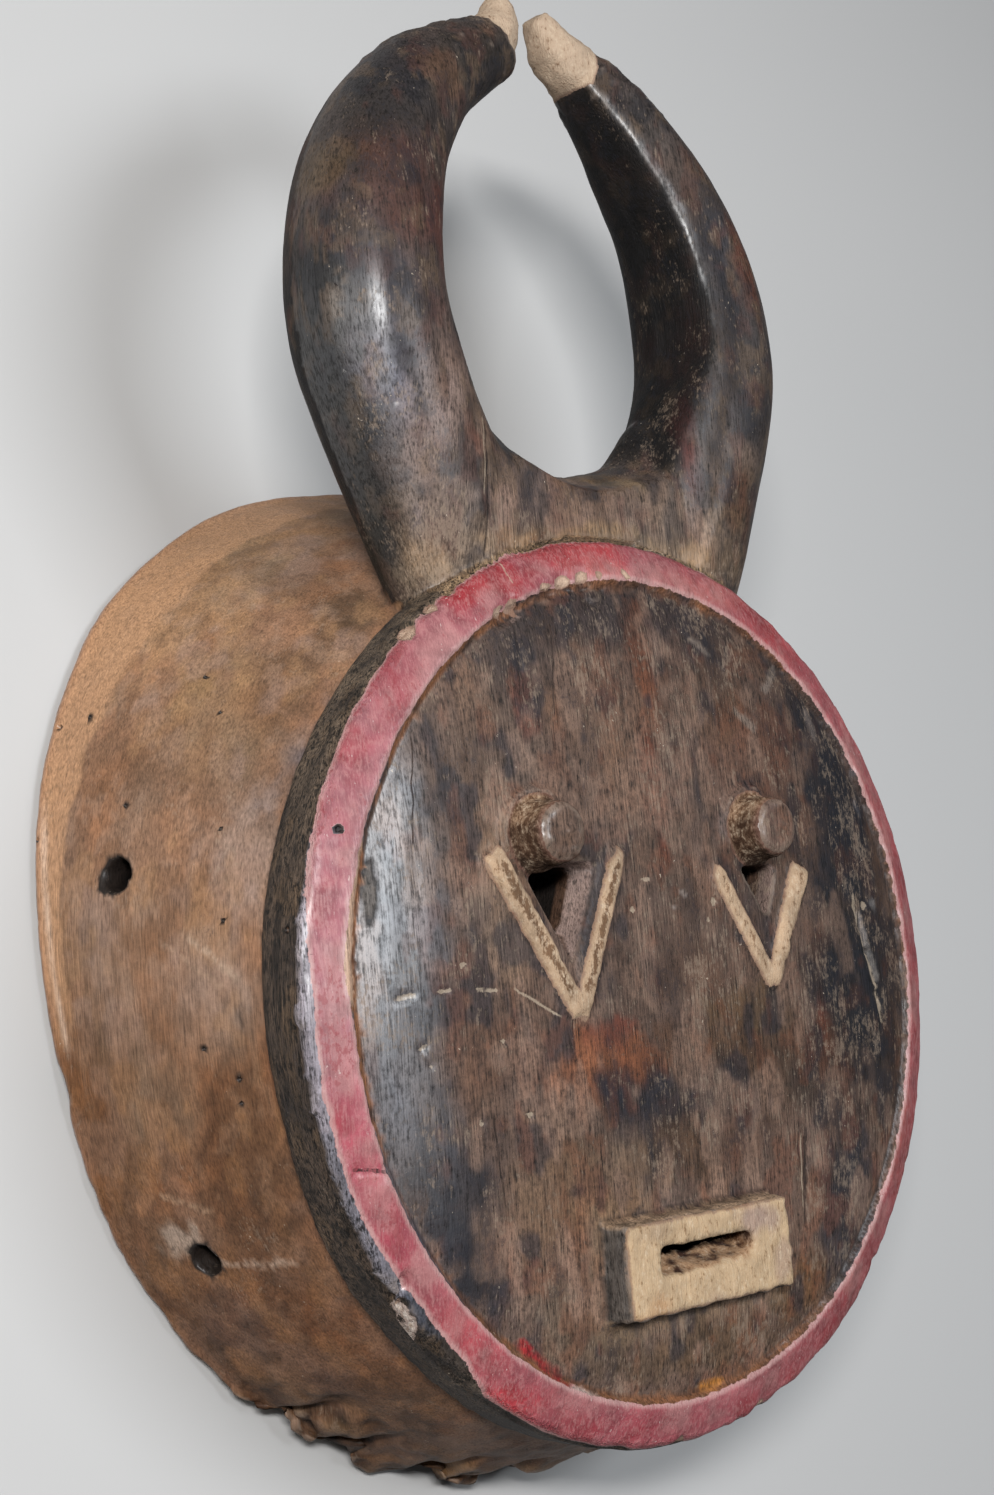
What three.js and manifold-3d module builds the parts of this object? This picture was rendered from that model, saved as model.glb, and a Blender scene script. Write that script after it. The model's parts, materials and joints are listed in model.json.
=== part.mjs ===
// Goli mask, carved from one block of wood: a round face plate with a raised band,
// two horns that curve in to meet, and a hollow shell behind, lying on its rear rim.
import * as THREE from 'three';
import { mergeVertices } from 'three/addons/utils/BufferGeometryUtils.js';
import Module from 'manifold-3d';

const wasm = await Module();
wasm.setup();

// Axes of the face, in millimetres: X to the right seen from the front, Y towards the horns,
// Z out of the face. Z = 0 is the outer front edge of the band.

// Face plate and band
const PLATE = { halfWidth: 130, halfHeight: 135, back: -17 };
const BAND = { width: 14, rise: 5.5, innerWall: 1.2, grooveZ: 2.6 };
const FACE = { centreZ: 9, bow: 3, shoulder: 3, shoulderPower: 12 };

// Shell behind the plate, open at the rear rim
const NECK = { inset: 3, z: -19 };
const RIM = {
  halfWidth: 148,
  halfHeight: 162,
  centreY: 12.5,
  z: -98.5,
  slope: 0.103,
  squareness: 2.2,
  egg: 0.026,
};
const SHELL_BULGE = 2.5;
const WALL = 10.5;
const LIP = { rounding: 2.5, land: 5.5 };
const HOLLOW = { floorZ: -12, floorScale: 0.78, cornerScale: 0.93, cornerZ: -17 };

// Horns: stations outwards from the foot, each with half its width across and half its depth
const HORN_Z = -19;
const HORN_FOOT = [
  { x: 36, y: 120, width: 32, depth: 16 },
  { x: 56, y: 156, width: 26.5, depth: 21 },
];
const RIGHT_HORN = {
  mirror: 1,
  shaft: [
    { x: 72, y: 200, width: 21, depth: 25 },
    { x: 66, y: 243, width: 18.5, depth: 22 },
    { x: 46, y: 275, width: 14.5, depth: 17 },
    { x: 27, y: 295, width: 10.5, depth: 11 },
  ],
  tip: [
    { x: 30, y: 292, width: 9.5, depth: 10.5 },
    { x: 16, y: 301, width: 9, depth: 9 },
    { x: 8, y: 312, width: 4, depth: 4.5 },
  ],
};
const LEFT_HORN = {
  mirror: -1,
  shaft: [
    { x: 72, y: 200, width: 22.5, depth: 26 },
    { x: 67, y: 243, width: 20.5, depth: 25 },
    { x: 46, y: 275, width: 17, depth: 19 },
    { x: 15, y: 295, width: 11.5, depth: 12 },
  ],
  tip: [
    { x: 20, y: 291, width: 10, depth: 10.5 },
    { x: 10, y: 302, width: 8.5, depth: 9 },
    { x: 7, y: 313, width: 4.5, depth: 5 },
  ],
};
const ARRIS = { angle: 2.4, height: 0.1, spread: 0.5 };
const SADDLE = {
  x: 52,
  endY: 176,
  middleY: 136,
  z: -22,
  width: 24,
  endWidth: 12,
  depth: 17,
  endDepth: 12,
};

// Eyes: a round peg above a V of two raised arms, with a funnel and a three-cornered hole between
const PEG = { radius: 9, foot: 10.5, length: 11 };
const V_ARM = { width: 6.5, rise: 1.6 };
const LEFT_EYE = {
  peg: [-47.5, 44.5],
  outer: [-66, 40],
  tip: [-38.5, -7],
  inner: [-17, 39.5],
  hole: [[-50, 35.5], [-31, 35], [-38.5, 15]],
};
const RIGHT_EYE = {
  peg: [42.5, 44],
  outer: [63.5, 32],
  tip: [45, -4],
  inner: [24, 31.5],
  hole: [[34, 33], [52, 33], [45.5, 15]],
};
const FUNNEL_DEPTH = 6;

// Mouth: a raised block with a slot through it
const MOUTH = { x: -1.5, y: -80.5, width: 69, height: 27, rise: 9 };
const SLOT = { x: -3, y: -79.5, width: 39, height: 9.5 };

// Holes for the lashing that tied on the collar, two a side through the shell wall
const LASHING_HOLES = [
  { angle: 12.5, aim: 5, down: 0.6, radius: 5.2 },
  { angle: -27.5, aim: -11, down: 0.57, radius: 4.2 },
];

// Rotted bites out of the lower edge of the rim
const BITES = [
  { angle: 188.5, radius: 4 },
  { angle: 238, radius: 6 },
  { angle: 250, radius: 9 },
  { angle: 261, radius: 7 },
  { angle: 272, radius: 8 },
];

const ROUND_STEPS = 72;
const HORN_SIDES = 20;
const HORN_ROWS = 22;
const TIP_ROWS = 5;
const SADDLE_ROWS = 10;

const degrees = THREE.MathUtils.degToRad;

// Height of the domed face at a point, and how far out that point is from 0 to 1
function faceReach(x, y) {
  const inner = innerBandSize();
  return Math.hypot(x / inner.halfWidth, y / inner.halfHeight);
}

function innerBandSize() {
  const inset = BAND.width + BAND.innerWall;
  return { halfWidth: PLATE.halfWidth - inset, halfHeight: PLATE.halfHeight - inset };
}

function faceHeight(reach) {
  return FACE.centreZ - FACE.bow * reach ** 2 - FACE.shoulder * reach ** FACE.shoulderPower;
}

// A closed ring round the face's axis: an oval, squared a little and sloped where asked
function ring(halfWidth, halfHeight, z, shape = {}) {
  return { halfWidth, halfHeight, z, centreY: 0, slope: 0, squareness: 2, egg: 0, ...shape };
}

function ringPoint(oval, angle) {
  const power = 2 / oval.squareness;
  const across = Math.cos(angle);
  const along = Math.sin(angle);
  const rise = Math.sign(along) * Math.abs(along) ** power;
  const x = oval.halfWidth * Math.sign(across) * Math.abs(across) ** power * (1 + oval.egg * rise);
  const y = oval.centreY + oval.halfHeight * rise;
  return new THREE.Vector3(x, y, oval.z - oval.slope * y);
}

// The shell between neck and rim: t is 0 at the neck and 1 at the rim, inset is measured inwards
function shellRing(t, inset) {
  const mix = THREE.MathUtils.lerp;
  const growth = SHELL_BULGE * Math.sin(Math.PI * t) - inset;
  const halfWidth = mix(PLATE.halfWidth - NECK.inset, RIM.halfWidth, t) + growth;
  const halfHeight = mix(PLATE.halfHeight - NECK.inset, RIM.halfHeight, t) + growth;
  return ring(halfWidth, halfHeight, mix(NECK.z, RIM.z, t), {
    centreY: RIM.centreY * t,
    slope: RIM.slope * t,
    egg: RIM.egg * t,
    squareness: mix(2, RIM.squareness, t),
  });
}

// Rings from the middle of the face, out over the band and back down the outside of the shell
function outerRings() {
  const inner = innerBandSize();
  const rings = [];
  for (const reach of [0.3, 0.55, 0.75, 0.88, 0.95, 1]) {
    rings.push(ring(inner.halfWidth * reach, inner.halfHeight * reach, faceHeight(reach)));
  }
  rings.push(ring(inner.halfWidth + 0.5, inner.halfHeight + 0.5, BAND.grooveZ));
  rings.push(ring(PLATE.halfWidth - BAND.width, PLATE.halfHeight - BAND.width, BAND.rise));
  rings.push(ring(PLATE.halfWidth, PLATE.halfHeight, 0));
  rings.push(ring(PLATE.halfWidth, PLATE.halfHeight, PLATE.back));
  for (const t of [0, 0.25, 0.5, 0.75, 0.95]) {
    rings.push(shellRing(t, 0));
  }
  rings.push(shellRing(1, LIP.rounding));
  return rings;
}

// Rings of the hollow, from its floor behind the face down the wall and out past the rim
function hollowRings() {
  const rings = [];
  for (const [scale, z] of [[HOLLOW.floorScale, HOLLOW.floorZ], [HOLLOW.cornerScale, HOLLOW.cornerZ]]) {
    rings.push(ring((PLATE.halfWidth - WALL) * scale, (PLATE.halfHeight - WALL) * scale, z));
  }
  for (const t of [0.12, 0.4, 0.7, 0.95]) {
    rings.push(shellRing(t, WALL));
  }
  rings.push(shellRing(1, LIP.rounding + LIP.land));
  rings.push(shellRing(1.1, LIP.rounding));
  return rings;
}

// Turns a lathe whose profile runs through the rings, then gives each ring its own oval
function turnedOval(rings, topZ, bottomZ) {
  const profile = [new THREE.Vector2(0, bottomZ)];
  for (const oval of [...rings].reverse()) {
    profile.push(new THREE.Vector2(oval.halfWidth, oval.z));
  }
  profile.push(new THREE.Vector2(0, topZ));
  const geometry = new THREE.LatheGeometry(profile, ROUND_STEPS);
  const position = geometry.attributes.position;
  for (let i = 0; i < position.count; i += 1) {
    const row = i % profile.length;
    const step = Math.floor(i / profile.length) % ROUND_STEPS;
    if (row === 0 || row === profile.length - 1) {
      position.setXYZ(i, 0, 0, profile[row].y);
    } else {
      const point = ringPoint(rings[rings.length - row], (2 * Math.PI * step) / ROUND_STEPS);
      position.setXYZ(i, point.x, point.y, point.z);
    }
  }
  return solid(geometry);
}

// Joins shared corners, turns the faces outwards if need be, and makes a solid for cuts and joins
function solid(geometry) {
  const bare = new THREE.BufferGeometry();
  bare.setAttribute('position', geometry.attributes.position.clone());
  if (geometry.index) {
    bare.setIndex(geometry.index.clone());
  }
  const merged = mergeVertices(bare, 1e-3);
  const vertProperties = new Float32Array(merged.attributes.position.array);
  const triVerts = new Uint32Array(withoutSlivers(merged.index.array));
  if (signedVolume(vertProperties, triVerts) < 0) {
    for (let i = 0; i < triVerts.length; i += 3) {
      [triVerts[i], triVerts[i + 1]] = [triVerts[i + 1], triVerts[i]];
    }
  }
  return new wasm.Manifold(new wasm.Mesh({ numProp: 3, vertProperties, triVerts }));
}

function withoutSlivers(index) {
  const kept = [];
  for (let i = 0; i < index.length; i += 3) {
    const [a, b, c] = [index[i], index[i + 1], index[i + 2]];
    if (a !== b && b !== c && c !== a) {
      kept.push(a, b, c);
    }
  }
  return kept;
}

function signedVolume(vertices, triangles) {
  const [a, b, c] = [new THREE.Vector3(), new THREE.Vector3(), new THREE.Vector3()];
  let sum = 0;
  for (let i = 0; i < triangles.length; i += 3) {
    a.fromArray(vertices, 3 * triangles[i]);
    b.fromArray(vertices, 3 * triangles[i + 1]);
    c.fromArray(vertices, 3 * triangles[i + 2]);
    sum += a.dot(b.cross(c));
  }
  return sum;
}

// A cylinder bent along a route: place(u, angle) gives the skin, u from 0 to 1 along it
function bentCylinder(sides, rows, place, middle) {
  const geometry = new THREE.CylinderGeometry(1, 1, 1, sides, rows);
  const position = geometry.attributes.position;
  for (let i = 0; i < position.count; i += 1) {
    const u = position.getY(i) + 0.5;
    const reach = Math.hypot(position.getX(i), position.getZ(i));
    const angle = Math.atan2(position.getX(i), position.getZ(i));
    const point = reach < 0.5 ? middle(u) : place(u, angle);
    position.setXYZ(i, point.x, point.y, point.z);
  }
  return solid(geometry);
}

// Oval section across a flat route; a soft ridge, the arris, can stand on its skin
function flatRouteTube(stations, z, mirror, ridge, rows) {
  const route = new THREE.CatmullRomCurve3(
    stations.map((s) => new THREE.Vector3(s.x * mirror, s.y, z)), false, 'catmullrom', 0.5);
  const sizes = new THREE.CatmullRomCurve3(
    stations.map((s) => new THREE.Vector3(s.width, s.depth, 0)), false, 'catmullrom', 0.5);
  const middle = (u) => route.getPoint(u);
  const place = (u, angle) => {
    const tangent = route.getTangent(u);
    const size = sizes.getPoint(u);
    const side = new THREE.Vector3(tangent.y, -tangent.x, 0).multiplyScalar(mirror);
    const offset = Math.atan2(Math.sin(angle - ARRIS.angle), Math.cos(angle - ARRIS.angle));
    const swell = 1 + ridge * Math.exp(-((offset / ARRIS.spread) ** 2));
    return route.getPoint(u)
      .addScaledVector(side, size.x * Math.cos(angle) * swell)
      .add(new THREE.Vector3(0, 0, size.y * Math.sin(angle) * swell));
  };
  return bentCylinder(HORN_SIDES, rows, place, middle);
}

// The dark horn ends in a shoulder, and the pale shaved tip goes on from it
function horn({ mirror, shaft, tip }) {
  const dark = flatRouteTube([...HORN_FOOT, ...shaft], HORN_Z, mirror, ARRIS.height, HORN_ROWS);
  return dark.add(flatRouteTube(tip, HORN_Z, mirror, 0, TIP_ROWS));
}

// The low saddle of wood between the feet of the horns
function saddle() {
  const mix = THREE.MathUtils.lerp;
  const stations = [-1, -0.5, 0, 0.5, 1].map((s) => ({
    x: s * SADDLE.x,
    y: mix(SADDLE.middleY, SADDLE.endY, s * s),
    width: mix(SADDLE.width, SADDLE.endWidth, s * s),
    depth: mix(SADDLE.depth, SADDLE.endDepth, s * s),
  }));
  return flatRouteTube(stations, SADDLE.z, 1, 0, SADDLE_ROWS);
}

function middleOf(corners) {
  const middle = [0, 0];
  for (const [x, y] of corners) {
    middle[0] += x / corners.length;
    middle[1] += y / corners.length;
  }
  return middle;
}

// An upright prism through the given corners, between two heights; top and foot may differ
function prism(footCorners, topCorners, bottomZ, topZ) {
  const sides = footCorners.length;
  const geometry = new THREE.CylinderGeometry(1, 1, 1, sides, 1);
  const position = geometry.attributes.position;
  for (let i = 0; i < position.count; i += 1) {
    const isTop = position.getY(i) > 0;
    const corners = isTop ? topCorners : footCorners;
    const reach = Math.hypot(position.getX(i), position.getZ(i));
    const turns = Math.atan2(position.getX(i), position.getZ(i)) / (2 * Math.PI);
    const corner = corners[Math.round((turns + 1) * sides) % sides];
    const [x, y] = reach < 0.5 ? middleOf(corners) : corner;
    position.setXYZ(i, x, y, isTop ? topZ : bottomZ);
  }
  return solid(geometry);
}

function rectangle(x, y, width, height) {
  const [w, h] = [width / 2, height / 2];
  return [[x - w, y - h], [x + w, y - h], [x + w, y + h], [x - w, y + h]];
}

// Corners of a straight bar of the given width between two points
function barCorners([ax, ay], [bx, by], width) {
  const length = Math.hypot(bx - ax, by - ay);
  const [nx, ny] = [(-(by - ay) / length) * (width / 2), ((bx - ax) / length) * (width / 2)];
  return [[ax - nx, ay - ny], [bx - nx, by - ny], [bx + nx, by + ny], [ax + nx, ay + ny]];
}

function scaledAbout(corners, [cx, cy], factor) {
  return corners.map(([x, y]) => [cx + (x - cx) * factor, cy + (y - cy) * factor]);
}

function peg([x, y]) {
  const base = faceHeight(faceReach(x, y));
  const height = PEG.length + 4;
  const geometry = new THREE.CylinderGeometry(PEG.radius, PEG.foot, height, 24);
  geometry.rotateX(Math.PI / 2);
  geometry.translate(x, y, base + PEG.length - height / 2);
  return solid(geometry);
}

function eyeArms(eye) {
  let arms = null;
  for (const end of [eye.outer, eye.inner]) {
    const corners = barCorners(end, eye.tip, V_ARM.width);
    const top = faceHeight(faceReach(...eye.tip)) + V_ARM.rise;
    const bar = prism(corners, corners, 0, top);
    arms = arms ? arms.add(bar) : bar;
  }
  return arms;
}

// The recess narrows from the arms to the hole, which runs on into the hollow
function eyeOpening(eye) {
  const middle = [
    (eye.outer[0] + eye.inner[0] + eye.tip[0]) / 3,
    (eye.outer[1] + eye.inner[1] + eye.tip[1]) / 3,
  ];
  const mouthCorners = scaledAbout([eye.outer, eye.inner, eye.tip], middle, 0.78);
  const faceZ = faceHeight(faceReach(...middle));
  const funnel = prism(eye.hole, mouthCorners, faceZ - FUNNEL_DEPTH, faceZ + 1);
  const through = prism(eye.hole, eye.hole, HOLLOW.floorZ - 8, faceZ);
  return funnel.add(through);
}

function mouthBlock() {
  const foot = rectangle(MOUTH.x, MOUTH.y, MOUTH.width + 2, MOUTH.height + 2);
  const top = rectangle(MOUTH.x, MOUTH.y, MOUTH.width, MOUTH.height);
  return prism(foot, top, 0, faceHeight(faceReach(MOUTH.x, MOUTH.y)) + MOUTH.rise);
}

function mouthSlot() {
  const outline = rectangle(SLOT.x, SLOT.y, SLOT.width, SLOT.height);
  return prism(outline, outline, HOLLOW.floorZ - 10, FACE.centreZ + 2 * MOUTH.rise);
}

// Bored in from the side, where the wall is at the given angle round the shell
function lashingHole({ angle, aim, down, radius }, mirror) {
  const entry = ringPoint(shellRing(down, 0), degrees(angle));
  const geometry = new THREE.CylinderGeometry(radius, radius, 4 * WALL, 16);
  geometry.rotateZ(Math.PI / 2 + degrees(aim));
  geometry.translate(entry.x, entry.y, entry.z);
  geometry.scale(mirror, 1, 1);
  return solid(geometry);
}

function rimBite({ angle, radius }) {
  const rim = ringPoint(shellRing(1, 0), degrees(angle));
  const geometry = new THREE.IcosahedronGeometry(radius, 1);
  geometry.scale(1.3, 1, 1);
  geometry.translate(rim.x, rim.y, rim.z);
  return solid(geometry);
}

function maskSolid() {
  let mask = turnedOval(outerRings(), FACE.centreZ, RIM.z);
  mask = mask.add(horn(RIGHT_HORN)).add(horn(LEFT_HORN)).add(saddle());
  mask = mask.subtract(turnedOval(hollowRings(), HOLLOW.floorZ, RIM.z - WALL));
  for (const eye of [LEFT_EYE, RIGHT_EYE]) {
    mask = mask.add(eyeArms(eye)).subtract(eyeOpening(eye)).add(peg(eye.peg));
  }
  mask = mask.add(mouthBlock()).subtract(mouthSlot());
  for (const hole of LASHING_HOLES) {
    mask = mask.subtract(lashingHole(hole, 1)).subtract(lashingHole(hole, -1));
  }
  for (const bite of BITES) {
    mask = mask.subtract(rimBite(bite));
  }
  return mask;
}

function toGeometry(manifold) {
  const mesh = manifold.getMesh();
  const geometry = new THREE.BufferGeometry();
  geometry.setAttribute('position', new THREE.BufferAttribute(new Float32Array(mesh.vertProperties), 3));
  geometry.setIndex(new THREE.BufferAttribute(new Uint32Array(mesh.triVerts), 1));
  geometry.computeVertexNormals();
  return geometry;
}

const darkWood = new THREE.MeshStandardMaterial({ color: 0x5b4436, roughness: 0.6, metalness: 0 });
const mask = new THREE.Mesh(toGeometry(maskSolid()), darkWood);
mask.name = 'goli_mask';

// Lies on its rim: the sloping rim turns level, and the middle of the whole goes over the origin
mask.rotation.x = Math.atan(RIM.slope);
const reach = new THREE.Box3().setFromObject(mask, true);
const middle = reach.getCenter(new THREE.Vector3());
mask.position.set(-middle.x, -middle.y, -reach.min.z);

const model = new THREE.Group();
model.add(mask);

export default model;
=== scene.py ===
import itertools
import json
import math

import bmesh
import bpy
import numpy as np
from mathutils import Matrix, Quaternion, Vector

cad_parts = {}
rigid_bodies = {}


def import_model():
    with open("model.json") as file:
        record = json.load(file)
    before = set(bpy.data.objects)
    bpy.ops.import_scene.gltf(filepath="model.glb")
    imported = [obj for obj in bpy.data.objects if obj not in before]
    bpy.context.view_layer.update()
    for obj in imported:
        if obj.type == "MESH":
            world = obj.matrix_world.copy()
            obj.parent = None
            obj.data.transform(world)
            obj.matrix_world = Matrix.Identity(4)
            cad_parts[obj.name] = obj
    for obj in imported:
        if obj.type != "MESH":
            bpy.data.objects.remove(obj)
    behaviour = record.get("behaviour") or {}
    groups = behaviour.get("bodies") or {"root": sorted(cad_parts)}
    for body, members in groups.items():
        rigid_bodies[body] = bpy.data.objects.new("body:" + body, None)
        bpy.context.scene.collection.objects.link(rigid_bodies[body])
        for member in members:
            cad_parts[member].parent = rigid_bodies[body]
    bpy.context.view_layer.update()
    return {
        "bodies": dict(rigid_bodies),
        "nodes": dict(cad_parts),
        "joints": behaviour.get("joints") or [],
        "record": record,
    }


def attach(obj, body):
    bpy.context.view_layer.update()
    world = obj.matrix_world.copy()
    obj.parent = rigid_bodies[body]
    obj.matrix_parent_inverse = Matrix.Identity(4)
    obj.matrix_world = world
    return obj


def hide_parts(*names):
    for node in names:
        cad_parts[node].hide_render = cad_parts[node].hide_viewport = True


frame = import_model()

# The mask is shaped in its own face axes, in millimetres: X to the right seen from the front,
# Y towards the horns, Z out of the face. Z = 0 is the outer front edge of the band.
RIM_SLOPE = 0.103
LIE_ON_RIM = Matrix.Translation((0, -0.0873573, 0.0979816)) @ Matrix.Rotation(math.atan(RIM_SLOPE), 4, "X")
FACE_TO_ROW = LIE_ON_RIM @ Matrix.Scale(0.001, 4)

PLATE_WIDTH, PLATE_HEIGHT, PLATE_BACK = 130, 135, -17
BAND_WIDTH, BAND_RISE, BAND_WALL, GROOVE_Z = 14, 5.5, 1.2, 2.6
FACE_Z, FACE_BOW, FACE_SHOULDER = 9, 3, 3
NECK_INSET, NECK_Z = 3, -19
RIM_WIDTH, RIM_HEIGHT, RIM_Y, RIM_Z, RIM_SQUARE, RIM_EGG = 148, 162, 12.5, -98.5, 2.2, 0.026
SHELL_BULGE, WALL = 2.5, 10.5
HORN_Z = -19
# Routes of the horns: X away from the middle, Y, half width and half depth
HORN_FOOT = [(36, 120, 32, 16), (56, 156, 26.5, 21)]
RIGHT_SHAFT = [(72, 200, 21, 25), (66, 243, 18.5, 22), (46, 275, 14.5, 17), (27, 295, 10.5, 11)]
RIGHT_TIP = [(30, 292, 9.5, 10.5), (16, 301, 9, 9), (8, 312, 4, 4.5)]
LEFT_SHAFT = [(72, 200, 22.5, 26), (67, 243, 20.5, 25), (46, 275, 17, 19), (15, 295, 11.5, 12)]
LEFT_TIP = [(20, 291, 10, 10.5), (10, 302, 8.5, 9), (7, 313, 4.5, 5)]
LEFT_EYE = {"peg": (-47.5, 44.5), "outer": (-66, 40), "tip": (-38.5, -7), "inner": (-17, 39.5),
            "hole": ((-50, 35.5), (-31, 35), (-38.5, 15))}
RIGHT_EYE = {"peg": (42.5, 44), "outer": (63.5, 32), "tip": (45, -4), "inner": (24, 31.5),
             "hole": ((34, 33), (52, 33), (45.5, 15))}
EYES = (LEFT_EYE, RIGHT_EYE)
# Middle, width and height of the mouth block and of its slot
MOUTH, MOUTH_RISE = (-1.5, -80.5, 69, 27), 9
SLOT = (-3, -79.5, 39, 9.5)
# Angle round the shell, aim, share down it and radius; the right side's are mirrored
LASHING_HOLES = [(12.5, 5, 0.6, 5.2), (-27.5, -11, 0.57, 4.2)]
VOXEL = 1.15
TRIANGLES = 190000
TO_CAMERA = (-0.665, -0.104, 0.740)
# The lamps are bright, so the colours of the wood itself are darker than they look
STUDIO_TONE = 0.5


def lattice_noise(points, size, seed):
    """Smooth random heights from -1 to 1, with features of the given size in millimetres."""
    table = np.random.RandomState(seed).uniform(-1, 1, 4096)
    cell = points / np.asarray(size, float)
    base = np.floor(cell).astype(np.int64)
    part = cell - base
    part = part * part * (3 - 2 * part)
    total = np.zeros(len(points))
    for corner in itertools.product((0, 1), repeat=3):
        key = (base + corner) * (73856093, 19349663, 83492791)
        index = (key[:, 0] ^ key[:, 1] ^ key[:, 2]) & 4095
        total += np.prod(np.where(corner, part, 1 - part), axis=1) * table[index]
    return total


def smooth_step(low, high, value):
    share = np.clip((value - low) / (high - low), 0, 1)
    return share * share * (3 - 2 * share)


def as_object(name, bm):
    bmesh.ops.recalc_face_normals(bm, faces=bm.faces)
    mesh = bpy.data.meshes.new(name)
    bm.to_mesh(mesh)
    bm.free()
    piece = bpy.data.objects.new(name, mesh)
    bpy.context.scene.collection.objects.link(piece)
    return piece


def round_body(name, sides, rows, place):
    """A closed round body: place(share, angle) says where its skin lies, share 0 and 1 are its ends."""
    bm = bmesh.new()
    bmesh.ops.create_uvsphere(bm, u_segments=sides, v_segments=rows, radius=1)
    ball = np.array([v.co for v in bm.verts])
    share = np.arccos(np.clip(ball[:, 2], -1, 1)) / math.pi
    for v, p in zip(bm.verts, place(share, np.arctan2(ball[:, 1], ball[:, 0]))):
        v.co = p
    return as_object(name, bm)


# Rings round the face axis: half width, half height, Z, centre Y, slope, squareness, egg
def plain_ring(width, height, z):
    return (width, height, z, 0, 0, 2, 0)


def shell_ring(t, inset):
    """The shell's outer ring at a share of the way down it, drawn in by an inset; t may be an array."""
    grow = SHELL_BULGE * np.sin(np.pi * t) - inset
    return (
        PLATE_WIDTH - NECK_INSET + (RIM_WIDTH - PLATE_WIDTH + NECK_INSET) * t + grow,
        PLATE_HEIGHT - NECK_INSET + (RIM_HEIGHT - PLATE_HEIGHT + NECK_INSET) * t + grow,
        NECK_Z + (RIM_Z - NECK_Z) * t, RIM_Y * t, RIM_SLOPE * t, 2 + (RIM_SQUARE - 2) * t, RIM_EGG * t)


def turned(name, rings, top_z, bottom_z, sides=200):
    table = np.array(rings, float)

    def place(share, angle):
        row = np.rint(share * (len(table) + 1)).astype(int) - 1
        width, height, z, centre, slope, square, egg = table[np.clip(row, 0, len(table) - 1)].T
        across, along = np.cos(angle), np.sin(angle)
        rise = np.sign(along) * np.abs(along) ** (2 / square)
        x = width * np.sign(across) * np.abs(across) ** (2 / square) * (1 + egg * rise)
        y = centre + height * rise
        points = np.stack([x, y, z - slope * y], 1)
        points[row < 0] = (0, 0, top_z)
        points[row >= len(table)] = (0, 0, bottom_z)
        return points

    return round_body(name, sides, len(rings) + 1, place)


def face_height(x, y):
    reach = np.hypot(x / (PLATE_WIDTH - BAND_WIDTH - BAND_WALL), y / (PLATE_HEIGHT - BAND_WIDTH - BAND_WALL))
    return FACE_Z - FACE_BOW * reach ** 2 - FACE_SHOULDER * reach ** 12


LIPS_Z = float(face_height(*MOUTH[:2])) + MOUTH_RISE


def plate_and_shell():
    width, height = PLATE_WIDTH - BAND_WIDTH - BAND_WALL, PLATE_HEIGHT - BAND_WIDTH - BAND_WALL
    rings = []
    for reach in [*np.arange(0.08, 0.88, 0.08), 0.9, 0.93, 0.96, 0.98, 1]:
        rings.append(plain_ring(width * reach, height * reach, face_height(width * reach, 0)))
    rings.append(plain_ring(width + 0.6, height + 0.6, GROOVE_Z))
    rings.append(plain_ring(PLATE_WIDTH - BAND_WIDTH, PLATE_HEIGHT - BAND_WIDTH, BAND_RISE - 0.4))
    rings.append(plain_ring(PLATE_WIDTH - BAND_WIDTH + 0.8, PLATE_HEIGHT - BAND_WIDTH + 0.8, BAND_RISE))
    for step in (0.35, 0.65, 0.9):
        bevel = BAND_WIDTH * (1 - step)
        rings.append(plain_ring(PLATE_WIDTH - bevel, PLATE_HEIGHT - bevel, BAND_RISE * (1 - step ** 1.15)))
    rings.append(plain_ring(PLATE_WIDTH, PLATE_HEIGHT, -0.6))
    for z in (-3, -7, -11, -15):
        rings.append(plain_ring(PLATE_WIDTH, PLATE_HEIGHT, z))
    rings.append(plain_ring(PLATE_WIDTH - 0.4, PLATE_HEIGHT - 0.4, PLATE_BACK))
    for t in np.arange(0, 0.97, 0.06):
        rings.append(shell_ring(t, 0))
    for t, inset in ((0.985, 0.4), (0.996, 1.2), (1, 2.6)):
        rings.append(shell_ring(t, inset))
    return turned("plate_and_shell", rings, FACE_Z, RIM_Z)


def hollow():
    rings = []
    for scale, z in ((0.4, -12), (0.7, -12), (0.8, -12.4), (0.9, -15), (0.96, -19)):
        rings.append(plain_ring((PLATE_WIDTH - WALL) * scale, (PLATE_HEIGHT - WALL) * scale, z))
    for t in (0.12, 0.2, 0.3, 0.4, 0.5, 0.6, 0.7, 0.8, 0.9):
        rings.append(shell_ring(t, WALL))
    for t, inset in ((0.96, WALL - 0.6), (0.985, WALL - 1.6), (1, WALL - 2.8), (1.1, 2)):
        rings.append(shell_ring(t, inset))
    return turned("hollow", rings, -12, RIM_Z - 12)


def flowing(stations, u):
    """Smooth values through evenly spaced stations, at u from 0 to 1, and how they change."""
    s = np.array(stations, float)
    s = np.vstack([2 * s[0] - s[1], s, 2 * s[-1] - s[-2]])
    at = np.clip(u, 0, 1) * (len(s) - 3)
    k = np.minimum(at.astype(int), len(s) - 4)
    f = (at - k)[:, None]
    a, b, c, d = s[k], s[k + 1], s[k + 2], s[k + 3]
    m, n = (c - a) / 2, (d - b) / 2
    value = b + m * f + (3 * (c - b) - 2 * m - n) * f ** 2 + (2 * (b - c) + m + n) * f ** 3
    change = m + 2 * (3 * (c - b) - 2 * m - n) * f + 3 * (2 * (b - c) + m + n) * f ** 2
    return value, change


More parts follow.
